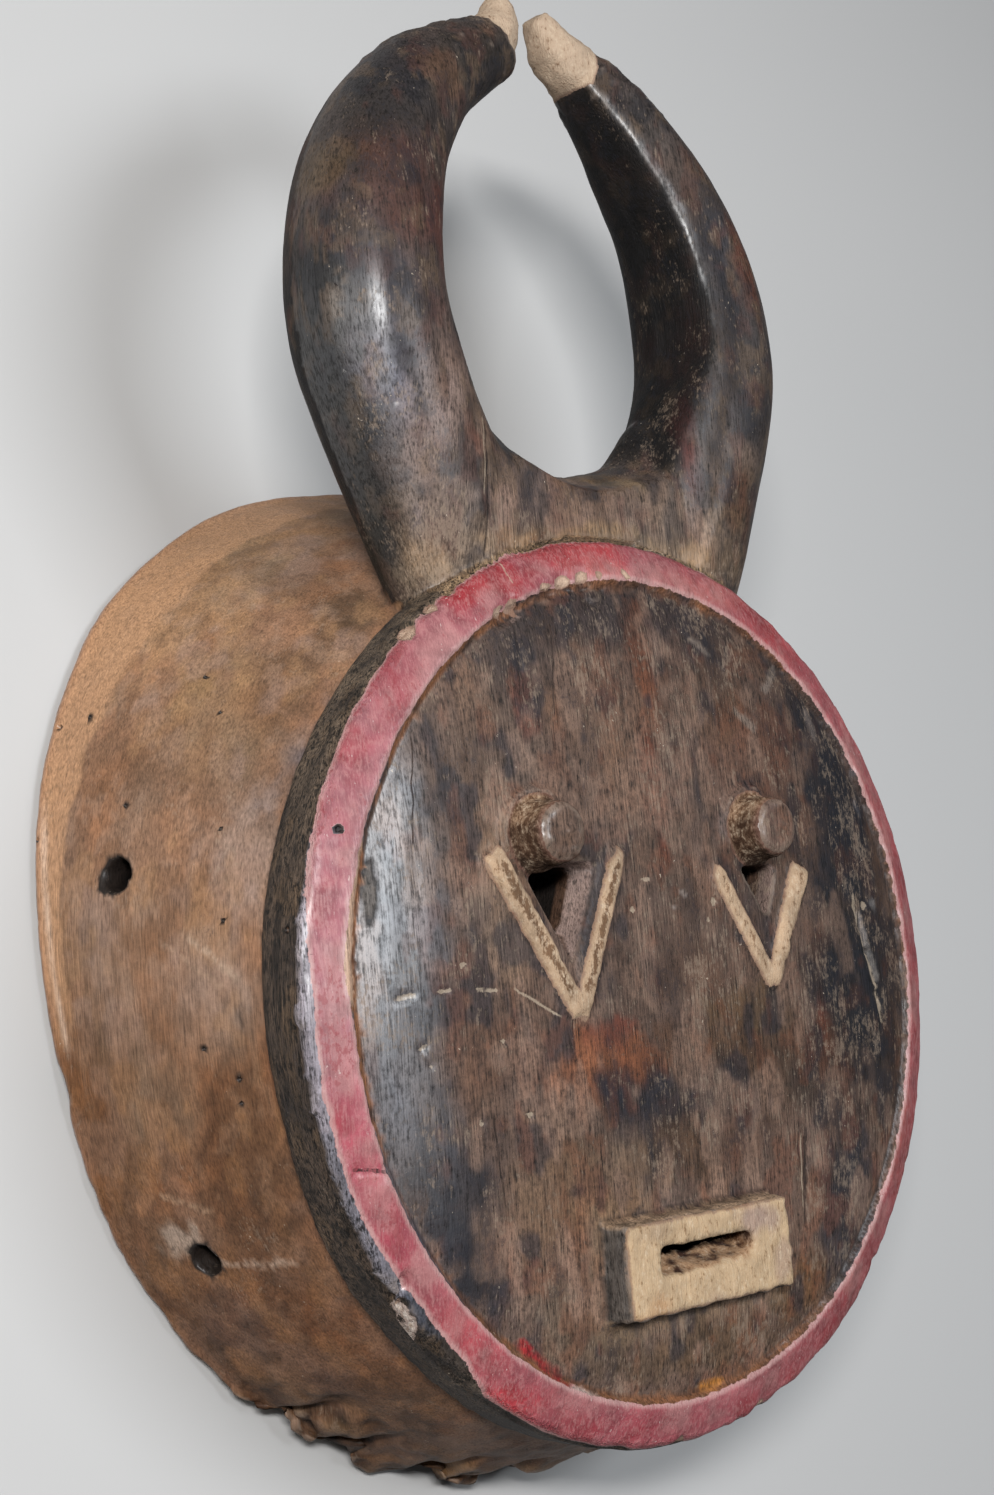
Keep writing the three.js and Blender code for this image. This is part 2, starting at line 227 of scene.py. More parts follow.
def horn_body(name, stations, z, mirror, rows=60, sides=96, arris=2.0, outer_ridge=0.0):
    """A tapering oval body along a flat route; arris is its corner towards the other horn, 2 being round."""

    def place(share, angle):
        u = np.clip((share - 0.02) / 0.96, 0, 1)
        at, change = flowing(stations, u)
        run = np.stack([change[:, 0] * mirror, change[:, 1]], 1)
        run /= np.linalg.norm(run, axis=1)[:, None]
        full = np.where((share < 0.01) | (share > 0.99), 0, 1)
        corner = (np.sin(angle) > 0) & (np.cos(angle) < 0)
        power = np.where(corner, 2 / (2 + (arris - 2) * smooth_step(0.1, 0.4, u)), 1)
        across = np.sign(np.cos(angle)) * np.abs(np.cos(angle)) ** power
        rise = np.sign(np.sin(angle)) * np.abs(np.sin(angle)) ** power
        near_side, half_way = np.exp(-((angle - 0.35) / 0.22) ** 2), np.exp(-((u - 0.42) / 0.16) ** 2)
        swell = 1 - 0.04 * corner + outer_ridge * near_side * half_way
        out = at[:, 2] * across * swell * full
        x = at[:, 0] * mirror + run[:, 1] * mirror * out
        y = at[:, 1] - run[:, 0] * mirror * out
        return np.stack([x, y, z + at[:, 3] * rise * swell * full], 1)

    return round_body(name, sides, rows, place)


def saddle():
    stations = []
    for s in (-1, -0.5, 0, 0.5, 1):
        stations.append((52 * s, 136 + 40 * s * s, 24 - 12 * s * s, 17 - 5 * s * s))
    return horn_body("saddle", stations, -22, 1, rows=30)


def prism(name, foot, top, low, high, bevel=0.0):
    """An upright body on a many-cornered foot, whose top may differ."""
    bm = bmesh.new()
    bmesh.ops.create_circle(bm, cap_ends=True, segments=len(foot), radius=1)
    for v, (x, y) in zip(bm.verts, foot):
        v.co = (x, y, low)
    lifted = bmesh.ops.extrude_face_region(bm, geom=bm.faces[:])
    raised = [g for g in lifted["geom"] if isinstance(g, bmesh.types.BMVert)]
    for v in raised:
        nearest = min(range(len(foot)), key=lambda i: math.dist(foot[i], v.co.xy))
        v.co = (*top[nearest], high)
    if bevel:
        edges = [e for e in bm.edges if all(v in raised for v in e.verts)]
        bmesh.ops.bevel(bm, geom=edges, offset=bevel, affect="EDGES", segments=2, profile=0.5, material=-1)
    return as_object(name, bm)


def rectangle(x, y, width, height):
    w, h = width / 2, height / 2
    return [(x - w, y - h), (x + w, y - h), (x + w, y + h), (x - w, y + h)]


def inwards(corners, share):
    x = sum(c[0] for c in corners) / len(corners)
    y = sum(c[1] for c in corners) / len(corners)
    return [(x + (c[0] - x) * share, y + (c[1] - y) * share) for c in corners]


def eye_arm(name, top, tip, wide_top, wide_tip):
    """One raised arm of a V, narrow and tapering, following the dome of the face."""
    dx, dy = tip[0] - top[0], tip[1] - top[1]
    run = math.hypot(dx, dy)
    side = (-dy / run, dx / run)
    foot = [(top[0] + side[0] * wide_top / 2, top[1] + side[1] * wide_top / 2),
            (top[0] - side[0] * wide_top / 2, top[1] - side[1] * wide_top / 2),
            (tip[0] - side[0] * wide_tip / 2, tip[1] - side[1] * wide_tip / 2),
            (tip[0] + side[0] * wide_tip / 2, tip[1] + side[1] * wide_tip / 2)]
    level = float(face_height(*tip))
    return prism(name, inwards(foot, 1.02), inwards(foot, 0.97), 0, level + 1.7, bevel=0.5)


def peg(name, x, y):
    level = float(face_height(x, y))

    def place(share, angle):
        profile = [(0, -3), (11.2, -3), (10.8, 0), (10.2, 1.5), (9.6, 4), (9.2, 7), (9.1, 9.3), (8.6, 10.5),
                   (7.3, 11.4), (6.6, 11.6), (0, 11.7)]
        row = np.rint(share * (len(profile) - 1)).astype(int)
        size, z = np.array(profile, float)[row].T
        return np.stack([x + size * np.cos(angle), y + size * np.sin(angle), level + z], 1)

    return round_body(name, 64, 10, place)


def shell_point(turn, down):
    """A point on the shell's outer skin, at an angle round it and a share down it."""
    width, height, z, centre, slope, square, egg = shell_ring(down, 0)
    across, along = math.cos(math.radians(turn)), math.sin(math.radians(turn))
    rise = math.copysign(abs(along) ** (2 / square), along)
    x = width * math.copysign(abs(across) ** (2 / square), across) * (1 + egg * rise)
    y = centre + height * rise
    return Vector((x, y, z - slope * y))


def lashing_hole(angle, aim, down, radius, mirror):
    bm = bmesh.new()
    bmesh.ops.create_cone(bm, cap_ends=True, segments=28, radius1=radius, radius2=radius, depth=46)
    bmesh.ops.rotate(bm, verts=bm.verts, cent=(0, 0, 0), matrix=Matrix.Rotation(math.pi / 2, 3, "Y"))
    bmesh.ops.rotate(bm, verts=bm.verts, cent=(0, 0, 0), matrix=Matrix.Rotation(math.radians(aim), 3, "Z"))
    bmesh.ops.translate(bm, verts=bm.verts, vec=shell_point(angle, down))
    bmesh.ops.scale(bm, verts=bm.verts, vec=(mirror, 1, 1))
    return as_object("lashing_hole", bm)


def join_or_cut(body, other, operation):
    change = body.modifiers.new(other.name, "BOOLEAN")
    change.operation = operation
    change.solver = "MANIFOLD"
    change.object = other
    settle(body)
    bpy.data.objects.remove(other)


def settle(piece):
    """Applies the piece's modifiers."""
    made = bpy.data.meshes.new_from_object(piece.evaluated_get(bpy.context.evaluated_depsgraph_get()))
    piece.modifiers.clear()
    piece.data = made


def rough_block():
    body = plate_and_shell()
    horns = [
        horn_body("right_horn", HORN_FOOT + RIGHT_SHAFT, HORN_Z, 1, arris=6.0),
        horn_body("right_tip", RIGHT_TIP, HORN_Z, 1, rows=24, arris=3.2),
        horn_body("left_horn", HORN_FOOT + LEFT_SHAFT, HORN_Z, -1, arris=2.6, outer_ridge=0.06),
        horn_body("left_tip", LEFT_TIP, HORN_Z, -1, rows=24),
        saddle(),
    ]
    for horn in horns:
        join_or_cut(body, horn, "UNION")
    join_or_cut(body, hollow(), "DIFFERENCE")
    for eye in EYES:
        inner = [eye["outer"], eye["tip"], eye["inner"]]
        join_or_cut(body, eye_arm("outer_arm", eye["outer"], eye["tip"], 7, 5.5), "UNION")
        join_or_cut(body, eye_arm("inner_arm", eye["inner"], eye["tip"], 5, 5.5), "UNION")
        x, y = (sum(p[i] for p in inner) / 3 for i in (0, 1))
        mouth = [(x + (p[0] - x) * 0.72, y + 1.5 + (p[1] - y) * 0.72) for p in inner]
        hole = [eye["hole"][0], eye["hole"][2], eye["hole"][1]]
        level = float(face_height(x, y))
        join_or_cut(body, prism("funnel", hole, mouth, level - 6, level + 2), "DIFFERENCE")
        join_or_cut(body, prism("through", hole, hole, -22, level), "DIFFERENCE")
        join_or_cut(body, peg("peg", *eye["peg"]), "UNION")
    block = rectangle(*MOUTH)
    join_or_cut(body, prism("mouth", inwards(block, 1.03), block, 0, LIPS_Z, bevel=0.6), "UNION")
    slot = rectangle(*SLOT)
    join_or_cut(body, prism("slot", slot, slot, -24, 30), "DIFFERENCE")
    (left, low), (right, high) = slot[0], slot[2]
    left, right, low, high = left - 0.5, right + 0.5, low - 0.5, high - 3.4
    deep = [(left, low), (right, low), (right, high + 0.6), (left, high)]
    brow = [(left, low), (right, low), (right, low + 3.2), (left, low + 1.2)]
    join_or_cut(body, prism("sill", deep, brow, LIPS_Z - 12.5, LIPS_Z - 0.8), "UNION")
    for hole in LASHING_HOLES:
        for mirror in (1, -1):
            join_or_cut(body, lashing_hole(*hole, mirror), "DIFFERENCE")
    return body


def band_place(points):
    """Distance in from the plate's outer edge, in millimetres, and the angle round it in degrees."""
    x, y = points[:, 0], points[:, 1]
    reach = np.maximum(np.hypot(x / PLATE_WIDTH, y / PLATE_HEIGHT), 1e-6)
    return (1 - reach) * np.hypot(x, y) / reach, np.degrees(np.arctan2(y, x)) % 360


def shell_place(points):
    """How far a point stands off the shell's outer skin, the share down it, and the angle round it."""
    x, y, z = points.T
    depth = NECK_Z - RIM_Z
    share = np.clip((NECK_Z - z - RIM_SLOPE * y * 0.5) / depth, 0, 1)
    for _ in range(3):
        share = np.clip((NECK_Z - z - RIM_SLOPE * share * y) / depth, 0, 1)
    width, height, _, centre, _, square, egg = shell_ring(share, 0)
    dy = y - centre
    rise = np.clip(dy / height, -1, 1)
    across = np.abs(x / width / (1 + egg * rise))
    reach = np.maximum((across ** square + np.abs(dy / height) ** square) ** (1 / square), 1e-6)
    return (reach - 1) * np.hypot(x, dy) / reach, share, np.degrees(np.arctan2(dy, x)) % 360


def to_line(points, start, end):
    """Distance in the face plane from a line, and the share of the way along it."""
    a, b = np.array(start, float), np.array(end, float)
    run = b - a
    way = np.clip(((points[:, :2] - a) @ run) / (run @ run), 0, 1)
    return np.linalg.norm(points[:, :2] - a - way[:, None] * run, axis=1), way


def in_oval(points, centre, radii, turn=0.0):
    """0 at the middle of an oval on the face and 1 on its edge."""
    c, s = math.cos(math.radians(turn)), math.sin(math.radians(turn))
    dx, dy = points[:, 0] - centre[0], points[:, 1] - centre[1]
    return np.hypot((dx * c + dy * s) / radii[0], (dy * c - dx * s) / radii[1])


def past_rectangle(points, x, y, width, height):
    """How far a point lies outside an upright rectangle, negative inside, seen from the front."""
    return np.maximum(np.abs(points[:, 0] - x) - width / 2, np.abs(points[:, 1] - y) - height / 2)


def arm_reach(points):
    """How far inside the nearest V arm a point lies, seen from the front."""
    best = np.full(len(points), -99.0)
    for eye in EYES:
        for top, wide in ((eye["outer"], 4.0), (eye["inner"], 2.7)):
            off, way = to_line(points, top, eye["tip"])
            blunt = 0.3 if top == LEFT_EYE["inner"] else 0.75
            half_width = np.minimum(wide, 3.4 - way * 0.4 + (wide - 3) * (1 - way))
            best = np.maximum(best, half_width * np.clip(blunt + 6 * way, 0, 1) - off)
    return best


def wander(points, size, reach, seed):
    """The points moved about a little, so that what is measured from them has a ragged edge."""
    return points + reach * np.stack([lattice_noise(points, size, seed + i) for i in range(3)], 1)


class Skin:
    """The mask's skin in its face axes, and where each carved part lies on it."""

    def __init__(self, mesh):
        self.mesh = mesh
        self.points, self.normals = read_skin(mesh)
        x, y, z = self.x, self.y, self.z = self.points.T
        self.inset, self.turn = band_place(self.points)
        self.off_shell, self.down, self.shell_turn = shell_place(self.points)
        self.above = z - face_height(x, y)
        self.mouth = past_rectangle(self.points, *MOUTH)
        self.slot = past_rectangle(self.points, *SLOT)
        self.arm = arm_reach(self.points)
        self.off_peg = np.minimum(*(np.hypot(x - eye["peg"][0], y - eye["peg"][1]) for eye in EYES))
        self.face = (self.inset > 15.4) & (z > -1)
        self.horn = (self.inset < -1) & (z > -50) & (y > 70) & ((z > -16.9) | (self.off_shell > 1.4))
        self.pegs = (self.off_peg < 11.5) & (self.above > 0.4)
        behind = ~self.horn & ~self.face & (z < -15)
        self.hollow = (self.off_shell < -5) & (z < -10)
        self.back = behind & ~self.hollow
        self.inside = (self.off_shell < -5) & (z < -9) & ~self.horn
        self.side = (z < 1) & (z > PLATE_BACK - 1.5) & (np.abs(self.inset) < 3.4) & ~self.horn
        self.shell = behind & ~self.side & ~self.inside

    def noise(self, size, seed):
        return lattice_noise(self.points, size, seed)

    def strokes(self, *layers):
        """Noise drawn out along the slanting strokes of the tool, from sizes, seeds and shares."""
        slanted = self.points @ np.array(Matrix.Rotation(math.radians(38), 3, "X"))
        return sum(share * lattice_noise(slanted, size, seed) for size, seed, share in layers)

    def crumbling(self):
        """Where rot has made the shell crumble: from 0 to 1 towards the lower rim."""
        around = smooth_step(222, 236, self.shell_turn) * smooth_step(292, 276, self.shell_turn)
        return around * smooth_step(0.3, 0.7, self.down)


# Marks on the face and horns: middle, half length and half width, turn in degrees, depth
NICKS = [
    ((-79.3, 9.5), (2, 1), 15, 0.5), ((-99.5, 2.3), (4, 1.1), 5, 0.5), ((-86.3, 3), (3, 0.9), 5, 0.6),
    ((-71.7, 2.2), (4.4, 0.9), -5, 0.4), ((-95, -11.6), (2.2, 0.9), 10, 0.5),
    ((-67.6, -12.4), (1.4, 1.2), 0, 0.6), ((-60.1, -33.2), (2, 1.1), 0, 0.6),
    ((-77.5, -33.5), (1.3, 1.3), 0, 0.4), ((-93, -17), (1.2, 0.9), 0, 0.4),
    ((-13.5, 21.5), (1.4, 1.6), 0, 0.4), ((-7, 30.1), (2.6, 0.9), 5, 0.5),
    ((22, 22.5), (1.8, 1.8), 0, 0.6), ((19, 17), (1.5, 1.3), 0, 0.4), ((95.5, 18), (1.8, 2.2), 0, 0.8),
]
HORN_NICKS = [
    ((-77.5, 182.5), (2, 1.1), 0, 0.5), ((-79.2, 170.3), (1.6, 1.6), 0, 0.45),
    ((-77.5, 153), (1.2, 1.2), 0, 0.35),
]
# Gouges in the face: from, to, half width, depth
GOUGES = [
    ((90.5, 18), (94.5, 3), 1.6, 0.9), ((94.5, 3), (97.3, -6.5), 2, 0.9),
    ((97.5, -10.5), (99.5, -19.5), 1.5, 0.8), ((-60.6, 1.4), (-47.5, -6), 0.9, 0.5),
    ((53.6, -52), (51, -79), 0.9, 0.9), ((50.5, -50), (49, -62), 0.6, 0.4),
    ((-73, -33), (-71, -56), 0.7, 0.5), ((-45.1, 106), (-47.5, 88), 0.6, 0.4),
]
HORN_CRACK = [(-44.5, 168.5), (-46.8, 152), (-47.4, 143), (-49, 128)]
# Chips in the band: middle, radius, depth
BAND_CHIPS = [
    ((-82.1, 104.6, -1.5), 4.5, 1.6), ((-73.2, 111.5, -1), 3.5, 1.3), ((-65, 117, -0.5), 3, 1),
    ((-51.1, 108.5, 5), 4, 1.6), ((-46, 110.5, 5), 3.6, 1.4), ((-38.5, 114, 5.2), 2.6, 0.9),
    ((-31, 117, 5.3), 3.8, 1.2), ((-24.5, 119.3, 5.3), 4.2, 1.3), ((-17, 121.2, 5.3), 3.6, 1.1),
    ((-9.5, 122.8, 5.2), 2.6, 0.8), ((1, 123.4, 5), 2.2, 0.6), ((-107.1, -76.5, -0.3), 2, 1.2),
    ((113.5, -68, 0), 3.5, 1), ((90, -97, 0), 3, 0.9), ((99, 88, 0), 3, 0.9), ((124, 40, 0), 3, 0.8),
    ((30, -131, 0), 3, 0.9), ((-5, -134, 0), 3, 0.7),
]
BAND_GOUGE = [(-104, -71.5), (-104.2, -78), (-99.3, -88)]
BAND_CRACK = [(-117.5, -41.3), (-109.5, -42.6)]
BAND_PIT = ((-104.2, -72.3), (1.3, 1.6))
BAND_DENT = ((-112.5, -45), (4.5, 2.6))
KNOT = ((-12.3, 116.6), (4.3, 3.6))
SLIP = ((-107.2, 31), (2.3, 8), -6)
# Bites of rot in the rim: angle round the shell, spread in degrees, depth; and notches: angle, spread
ROT = [
    (236, 8, 9), (243, 6, 7), (250, 13, 10), (259, 5, 8), (265, 9, 9), (273, 8, 9), (190.5, 2, 6),
    (204, 3, 2.5), (216, 2, 3), (228, 5, 4),
]
ROT_NOTCHES = [(233.5, 1.2), (242, 1.7), (253.5, 1.7), (263, 1.4), (272, 1.6)]


def tool_marks(skin):
    """Unevenness, tool marks and worn edges, as heights along the normals."""
    noise, x, y, z, inset = skin.noise, skin.x, skin.y, skin.z, skin.inset
    rise = 0.32 * noise((30, 42, 30), 1) + 0.13 * noise((9, 16, 9), 2)
    rise += skin.horn * (0.32 * noise((15, 26, 15), 3) + 0.1 * noise((3.2, 8, 3.2), 4))
    rise += skin.back * (0.5 * noise((22, 30, 22), 5) + 0.16 * noise(5, 6))
    rise += skin.hollow * (0.9 * noise((13, 20, 13), 7) + 0.3 * noise(5, 8))
    on_band = (inset > -1) & (inset < 15.4) & (z > -17)
    rise += on_band * (0.18 * noise(6, 9) + 0.12 * noise(2.6, 10))
    rise += (skin.face & ~skin.pegs) * 0.07 * noise((1.8, 16, 4), 11)
    carved = (skin.mouth > -30) & (skin.mouth < 2.5) | skin.pegs | (skin.arm > -0.5)
    rise += (carved & skin.face) * (0.34 * noise(2.2, 12) + 0.3 * noise((5, 3, 5), 13))
    worn_lips = np.exp(-((skin.mouth + 0.3) / 1.3) ** 2) * (0.45 + 0.5 * noise(3.5, 17))
    rise -= skin.face * (z > LIPS_Z - 2.5) * worn_lips
    rise += (skin.slot < 1.2) * (z < LIPS_Z - 1) * (z > -14) * 0.6 * noise(2.4, 18)
    rise += (skin.horn & (y > 283)) * (0.55 * noise(4.2, 21) + 0.3 * noise(1.9, 22))
    rise += skin.back * smooth_step(0, -60, y) * skin.strokes(((4, 11, 3), 23, 0.3), ((2.4, 7, 2), 27, 0.22))
    for eye in EYES:
        dx, dy = x - eye["peg"][0], y - eye["peg"][1]
        off = np.hypot(dx, dy)
        collar = np.exp(-((off - 12.6) / 1.5) ** 2)
        collar *= smooth_step(-0.2, 0.7, (dy - 0.8 * dx) / np.maximum(off, 1) / 1.28)
        rise += skin.face * (skin.normals[:, 2] > 0.3) * collar * (1.3 + 0.8 * noise(3, 19))
    outer_edge = np.exp(-(inset / 1.6) ** 2) * (z > -3) * (z < 2.5)
    rise -= outer_edge * (0.5 + 0.7 * np.maximum(noise(3.4, 14), 0) + 0.5 * noise(8, 15))
    inner_edge = np.exp(-((inset - 13.8) / 1.3) ** 2) * (z > 2.2)
    rise -= inner_edge * (0.3 + 0.9 * np.maximum(noise(3.2, 16), 0))
    return rise


def cut_face_and_horns(skin, move):
    """Nicks, gouges, a crack, a knot and a slip of the knife."""
    front = skin.normals[:, 2] > 0.25
    face = front & skin.face
    for marks, where, fullness in ((NICKS, face, 1.15), (HORN_NICKS, front & skin.horn, 1.1)):
        for middle, radii, tilt, depth in marks:
            off = in_oval(skin.points, middle, radii, tilt)
            move[:, 2] -= where * depth * np.clip(fullness - off ** 2, 0, 1)
    ragged = wander(skin.points, 3, 0.5, 20)
    for start, end, wide, depth in GOUGES:
        off, _ = to_line(ragged, start, end)
        move[:, 2] -= face * depth * np.clip(1 - (off / wide) ** 2, 0, 1)
    for start, end in zip(HORN_CRACK, HORN_CRACK[1:]):
        off, _ = to_line(skin.points, start, end)
        move[:, 2] -= (front & (skin.inset < 1)) * 0.8 * np.clip(1 - off / 0.8, 0, 1)
    knot = in_oval(skin.points, *KNOT)
    move[:, 2] -= face * (0.7 * np.exp(-((knot - 1) / 0.25) ** 2) - 0.3 * (knot < 0.7))
    move[:, 2] -= face * 0.3 * np.exp(-((in_oval(skin.points, *SLIP) - 1) / 0.2) ** 2)


def dress_saddle(skin, move):
    """The saddle is dressed flat in front, and the gap above it rounded out towards the right horn."""
    x, y, z = skin.x, skin.y, skin.z
    flat = skin.horn * (skin.normals[:, 2] > 0.1) * smooth_step(168, 155, y) * smooth_step(50, 36, np.abs(x))
    move[:, 2] += flat * 0.8 * np.clip(-2.2 - z, 0, 9) * smooth_step(-13, -9, z)
    corner = np.exp(-(((x - 27) / 12) ** 2 + ((y - 168) / 11) ** 2 + ((z + 17) / 16) ** 2))
    move += (skin.horn * corner)[:, None] * np.array((2.8, -3.4, 0))


def cut_band(skin, move):
    """Chips, a gouge with a pit, a crack, and tooth marks where the corner below the horns was cleared."""
    front = skin.normals[:, 2] > 0.25
    ragged = wander(skin.points, 2.6, 1.1, 24)
    for middle, radius, depth in BAND_CHIPS:
        off = np.linalg.norm(ragged - np.array(middle), axis=1) / radius
        move -= (depth * np.clip(1 - off ** 2, 0, 1) ** 0.5)[:, None] * skin.normals
    for start, end in zip(BAND_GOUGE, BAND_GOUGE[1:]):
        off, _ = to_line(ragged, start, end)
        move[:, 2] -= (front & (skin.z > -9)) * 1.6 * np.clip(1.1 - (off / 1.5) ** 2, 0, 1)
    move[:, 2] -= front * 3 * np.clip(1 - in_oval(skin.points, *BAND_PIT) ** 2, 0, 1)
    off, _ = to_line(wander(skin.points, 4, 0.4, 26), *BAND_CRACK)
    dent = np.clip(1 - in_oval(skin.points, *BAND_DENT), 0, 1)
    move[:, 2] -= front * (0.9 * np.clip(1 - off, 0, 1) + 0.35 * dent)
    comb = np.abs(((skin.x + 0.25 * skin.y) / 2.7) % 1 - 0.5) * 2
    teeth = (skin.y > 95) * np.exp(-((skin.inset - 0.6) / 1.3) ** 2)
    teeth *= smooth_step(-75, -60, skin.x) * smooth_step(30, 10, skin.x)
    move[:, 2] -= front * teeth * 0.9 * smooth_step(0.35, 0.75, comb)


def rot_rim(skin, move):
    """The shell's rim is rolled a little, and rot has eaten its lower part in bites with crumbling edges."""
    rolled = 0.8 * np.exp(-((skin.down - 0.965) / 0.022) ** 2)
    move += skin.normals * (skin.back * rolled)[:, None]
    rim = (skin.down > 0.8) & (skin.z < -70)
    uneven = 0.5 + 0.5 * skin.noise((7, 7, 9), 30) + 0.18 * skin.noise(4, 31)
    for at, spread, depth in ROT:
        near = np.exp(-((skin.shell_turn - at) / spread) ** 2) * smooth_step(0.8, 1, skin.down)
        move[:, 2] += rim * near * depth * np.clip(uneven, 0.15, 1.3)
    lumps = 2.8 * skin.noise((10, 10, 12), 32) + skin.noise((5, 5, 6), 33)
    ragged_turn = skin.shell_turn + 1.4 * skin.noise(9, 35)
    for at, spread in ROT_NOTCHES:
        lumps = lumps - 5 * np.exp(-((ragged_turn - at) / spread) ** 2)
    pits = smooth_step(0.45, 0.8, skin.noise((3.6, 3.6, 4.5), 34))
    depth = np.clip(lumps, -4.8, 2.2) - 1.2 * pits
    move += skin.normals * (skin.crumbling() * ~skin.hollow * depth)[:, None]


def carve_skin(mesh):
    """Works tool marks, cuts, wear and rot into the even skin."""
    skin = Skin(mesh)
    move = skin.normals * tool_marks(skin)[:, None]
    cut_face_and_horns(skin, move)
    dress_saddle(skin, move)
    cut_band(skin, move)
    rot_rim(skin, move)
    mesh.vertices.foreach_set("co", (skin.points + move).astype(np.float32).ravel())
    mesh.update()


def read_skin(mesh):
    points = np.empty(len(mesh.vertices) * 3, np.float32)
    normals = np.empty(len(mesh.vertices) * 3, np.float32)
    mesh.vertices.foreach_get("co", points)
    mesh.vertex_normals.foreach_get("vector", normals)
    return points.reshape(-1, 3).astype(float), normals.reshape(-1, 3).astype(float)


def even_skin(body):
    remesh = body.modifiers.new("even_skin", "REMESH")
    remesh.mode = "VOXEL"
    remesh.voxel_size = VOXEL
    settle(body)


def thin_out(body):
    """Fewer triangles, taken first from the hollow and the far sides."""
    skin = Skin(body.data)
    hidden = (skin.z < -10) & (skin.off_shell < -4)
    away = smooth_step(0.1, -0.5, skin.normals @ np.array(TO_CAMERA))
    weight = np.round(np.clip(0.25 + 0.75 * hidden + 0.45 * away, 0, 1), 1)
    group = body.vertex_groups.new(name="thin")
    for level in np.unique(weight):
        group.add(np.nonzero(weight == level)[0].tolist(), float(level), "REPLACE")
    thin = body.modifiers.new("thin", "DECIMATE")
    thin.ratio = TRIANGLES / sum(len(p.vertices) - 2 for p in body.data.polygons)
    thin.vertex_group = group.name
    thin.use_collapse_triangulate = True
    settle(body)
    body.vertex_groups.clear()


# Insect holes in the shell: angle round it, share down it, radius; in the plate: middle, way in, radius
INSECT_HOLES = [
    (152.7, 0.95, 0.7), (150.6, 0.83, 0.55), (141.6, 0.45, 0.5), (145.5, 0.34, 0.5), (159.7, 0.59, 0.5),
    (165.8, 0.97, 0.7), (159.4, 0.21, 0.55), (169.7, 0.16, 0.55), (183.8, 0.26, 0.5), (187.1, 0.14, 0.6),
    (189.8, 0.15, 0.5),
]
PLATE_HOLES = [((-114.5, 48.3, 2.6), (0.1, 0, -1), 0.75), ((-128.1, 22.7, -5.3), (1, 0, -0.1), 0.9)]
# Scratches on the shell: from, to, half width, colour
SHELL_LINES = [
    ((-123.5, -67.3, -56), (-115.6, -66.5, -33.2), 1.1, (200, 170, 148)),
    ((-134.2, 24.5, -44.4), (-129.5, 11.4, -27.4), 1, (196, 168, 144)),
    ((-136.6, 23, -52), (-131.8, 9, -33), 0.8, (178, 146, 122)),
    ((-134, -47, -66), (-128, -52, -50), 0.9, (188, 152, 122)),
    ((-117.5, -86, -66), (-108, -92, -52), 1, (176, 146, 118)),
    ((-129.3, 4, -27), (-128.9, -2.5, -27.5), 0.9, (34, 24, 18)),
]
# Pale scuffs and dots on the face: from, to, half width, colour
FACE_MARKS = [
    ((91.9, 15.1, 6.7), (94.5, 5.1, 6.5), 1.3, (150, 142, 138)),
    ((94.5, 5.1, 6.5), (98.2, -5.8, 6.2), 1.6, (140, 132, 126)),
    ((100.3, 19, 5.8), (101.3, 18, 5.8), 1.3, (176, 168, 164)),
    ((81.2, 74.8, 4.8), (79.4, 80.8, 4.1), 1.9, (150, 136, 128)),
    ((52.2, 107.4, 3.4), (47.3, 115.2, 3.8), 1.2, (156, 140, 130)),
    ((67.5, 97.5, 3), (58.9, 88.8, 5.6), 1.5, (132, 118, 108)),
    ((100.4, 48.3, 4.2), (99.5, 52, 4.2), 1.2, (128, 124, 128)),
    ((42, 81.2, 7), (50, 76, 7), 1.6, (136, 120, 108)),
    ((26.1, 103.8, 5.7), (34, 100, 5.7), 1.1, (130, 116, 106)),
    ((8.4, 25.6, 8.8), (9, 24.8, 8.8), 1.2, (150, 136, 128)),
    ((4, 21.3, 8.8), (4.4, 20.9, 8.8), 0.9, (150, 138, 130)),
]
# Streaks of old paint and crust in the groove: from, to, half width, colour
GROOVE_LINES = [
    ((-66.5, -94.8, 3.6), (-60, -101.5, 4.5), 1.6, (168, 34, 40)),
    ((-60, -101.5, 4.5), (-50, -109, 5), 1.8, (150, 26, 34)),
    ((-50, -109, 5), (-42, -113, 4.6), 1.3, (206, 180, 170)),
    ((2, -119.2, 3.1), (9, -119, 3.1), 1.6, (184, 120, 50)),
]


def small_bores():
    """Round insect holes, as thin tapering pins to be cut out of the skin."""
    pins = []
    for turn, down, size in INSECT_HOLES:
        way = Vector((-math.cos(math.radians(turn)), -math.sin(math.radians(turn)), -0.2))
        pins.append((shell_point(turn, down), way, size))
    pins += [(Vector(place), Vector(way), size) for place, way, size in PLATE_HOLES]
    bm = bmesh.new()
    for place, way, size in pins:
        pin = bmesh.ops.create_cone(
            bm, cap_ends=True, segments=12, radius1=size * 1.25, radius2=size * 0.7, depth=7)["verts"]
        bmesh.ops.rotate(bm, verts=pin, cent=(0, 0, 0), matrix=way.to_track_quat("Z", "Y").to_matrix())
        bmesh.ops.translate(bm, verts=pin, vec=place + way.normalized() * 1.8)
    return as_object("small_bores", bm)


def seen(r, g, b):
    """A colour as it should look in the studio, 0 to 255 a channel, made the colour of the wood itself."""
    return STUDIO_TONE * ((np.array((r, g, b)) / 255 + 0.055) / 1.055) ** 2.4


FACE_TINT, HORN_TINT, SIDE_TINT = (106, 89, 82), (76, 67, 63), (71, 58, 48)
SHELL_TINT, HOLLOW_TINT = (158, 117, 89), (128, 98, 74)
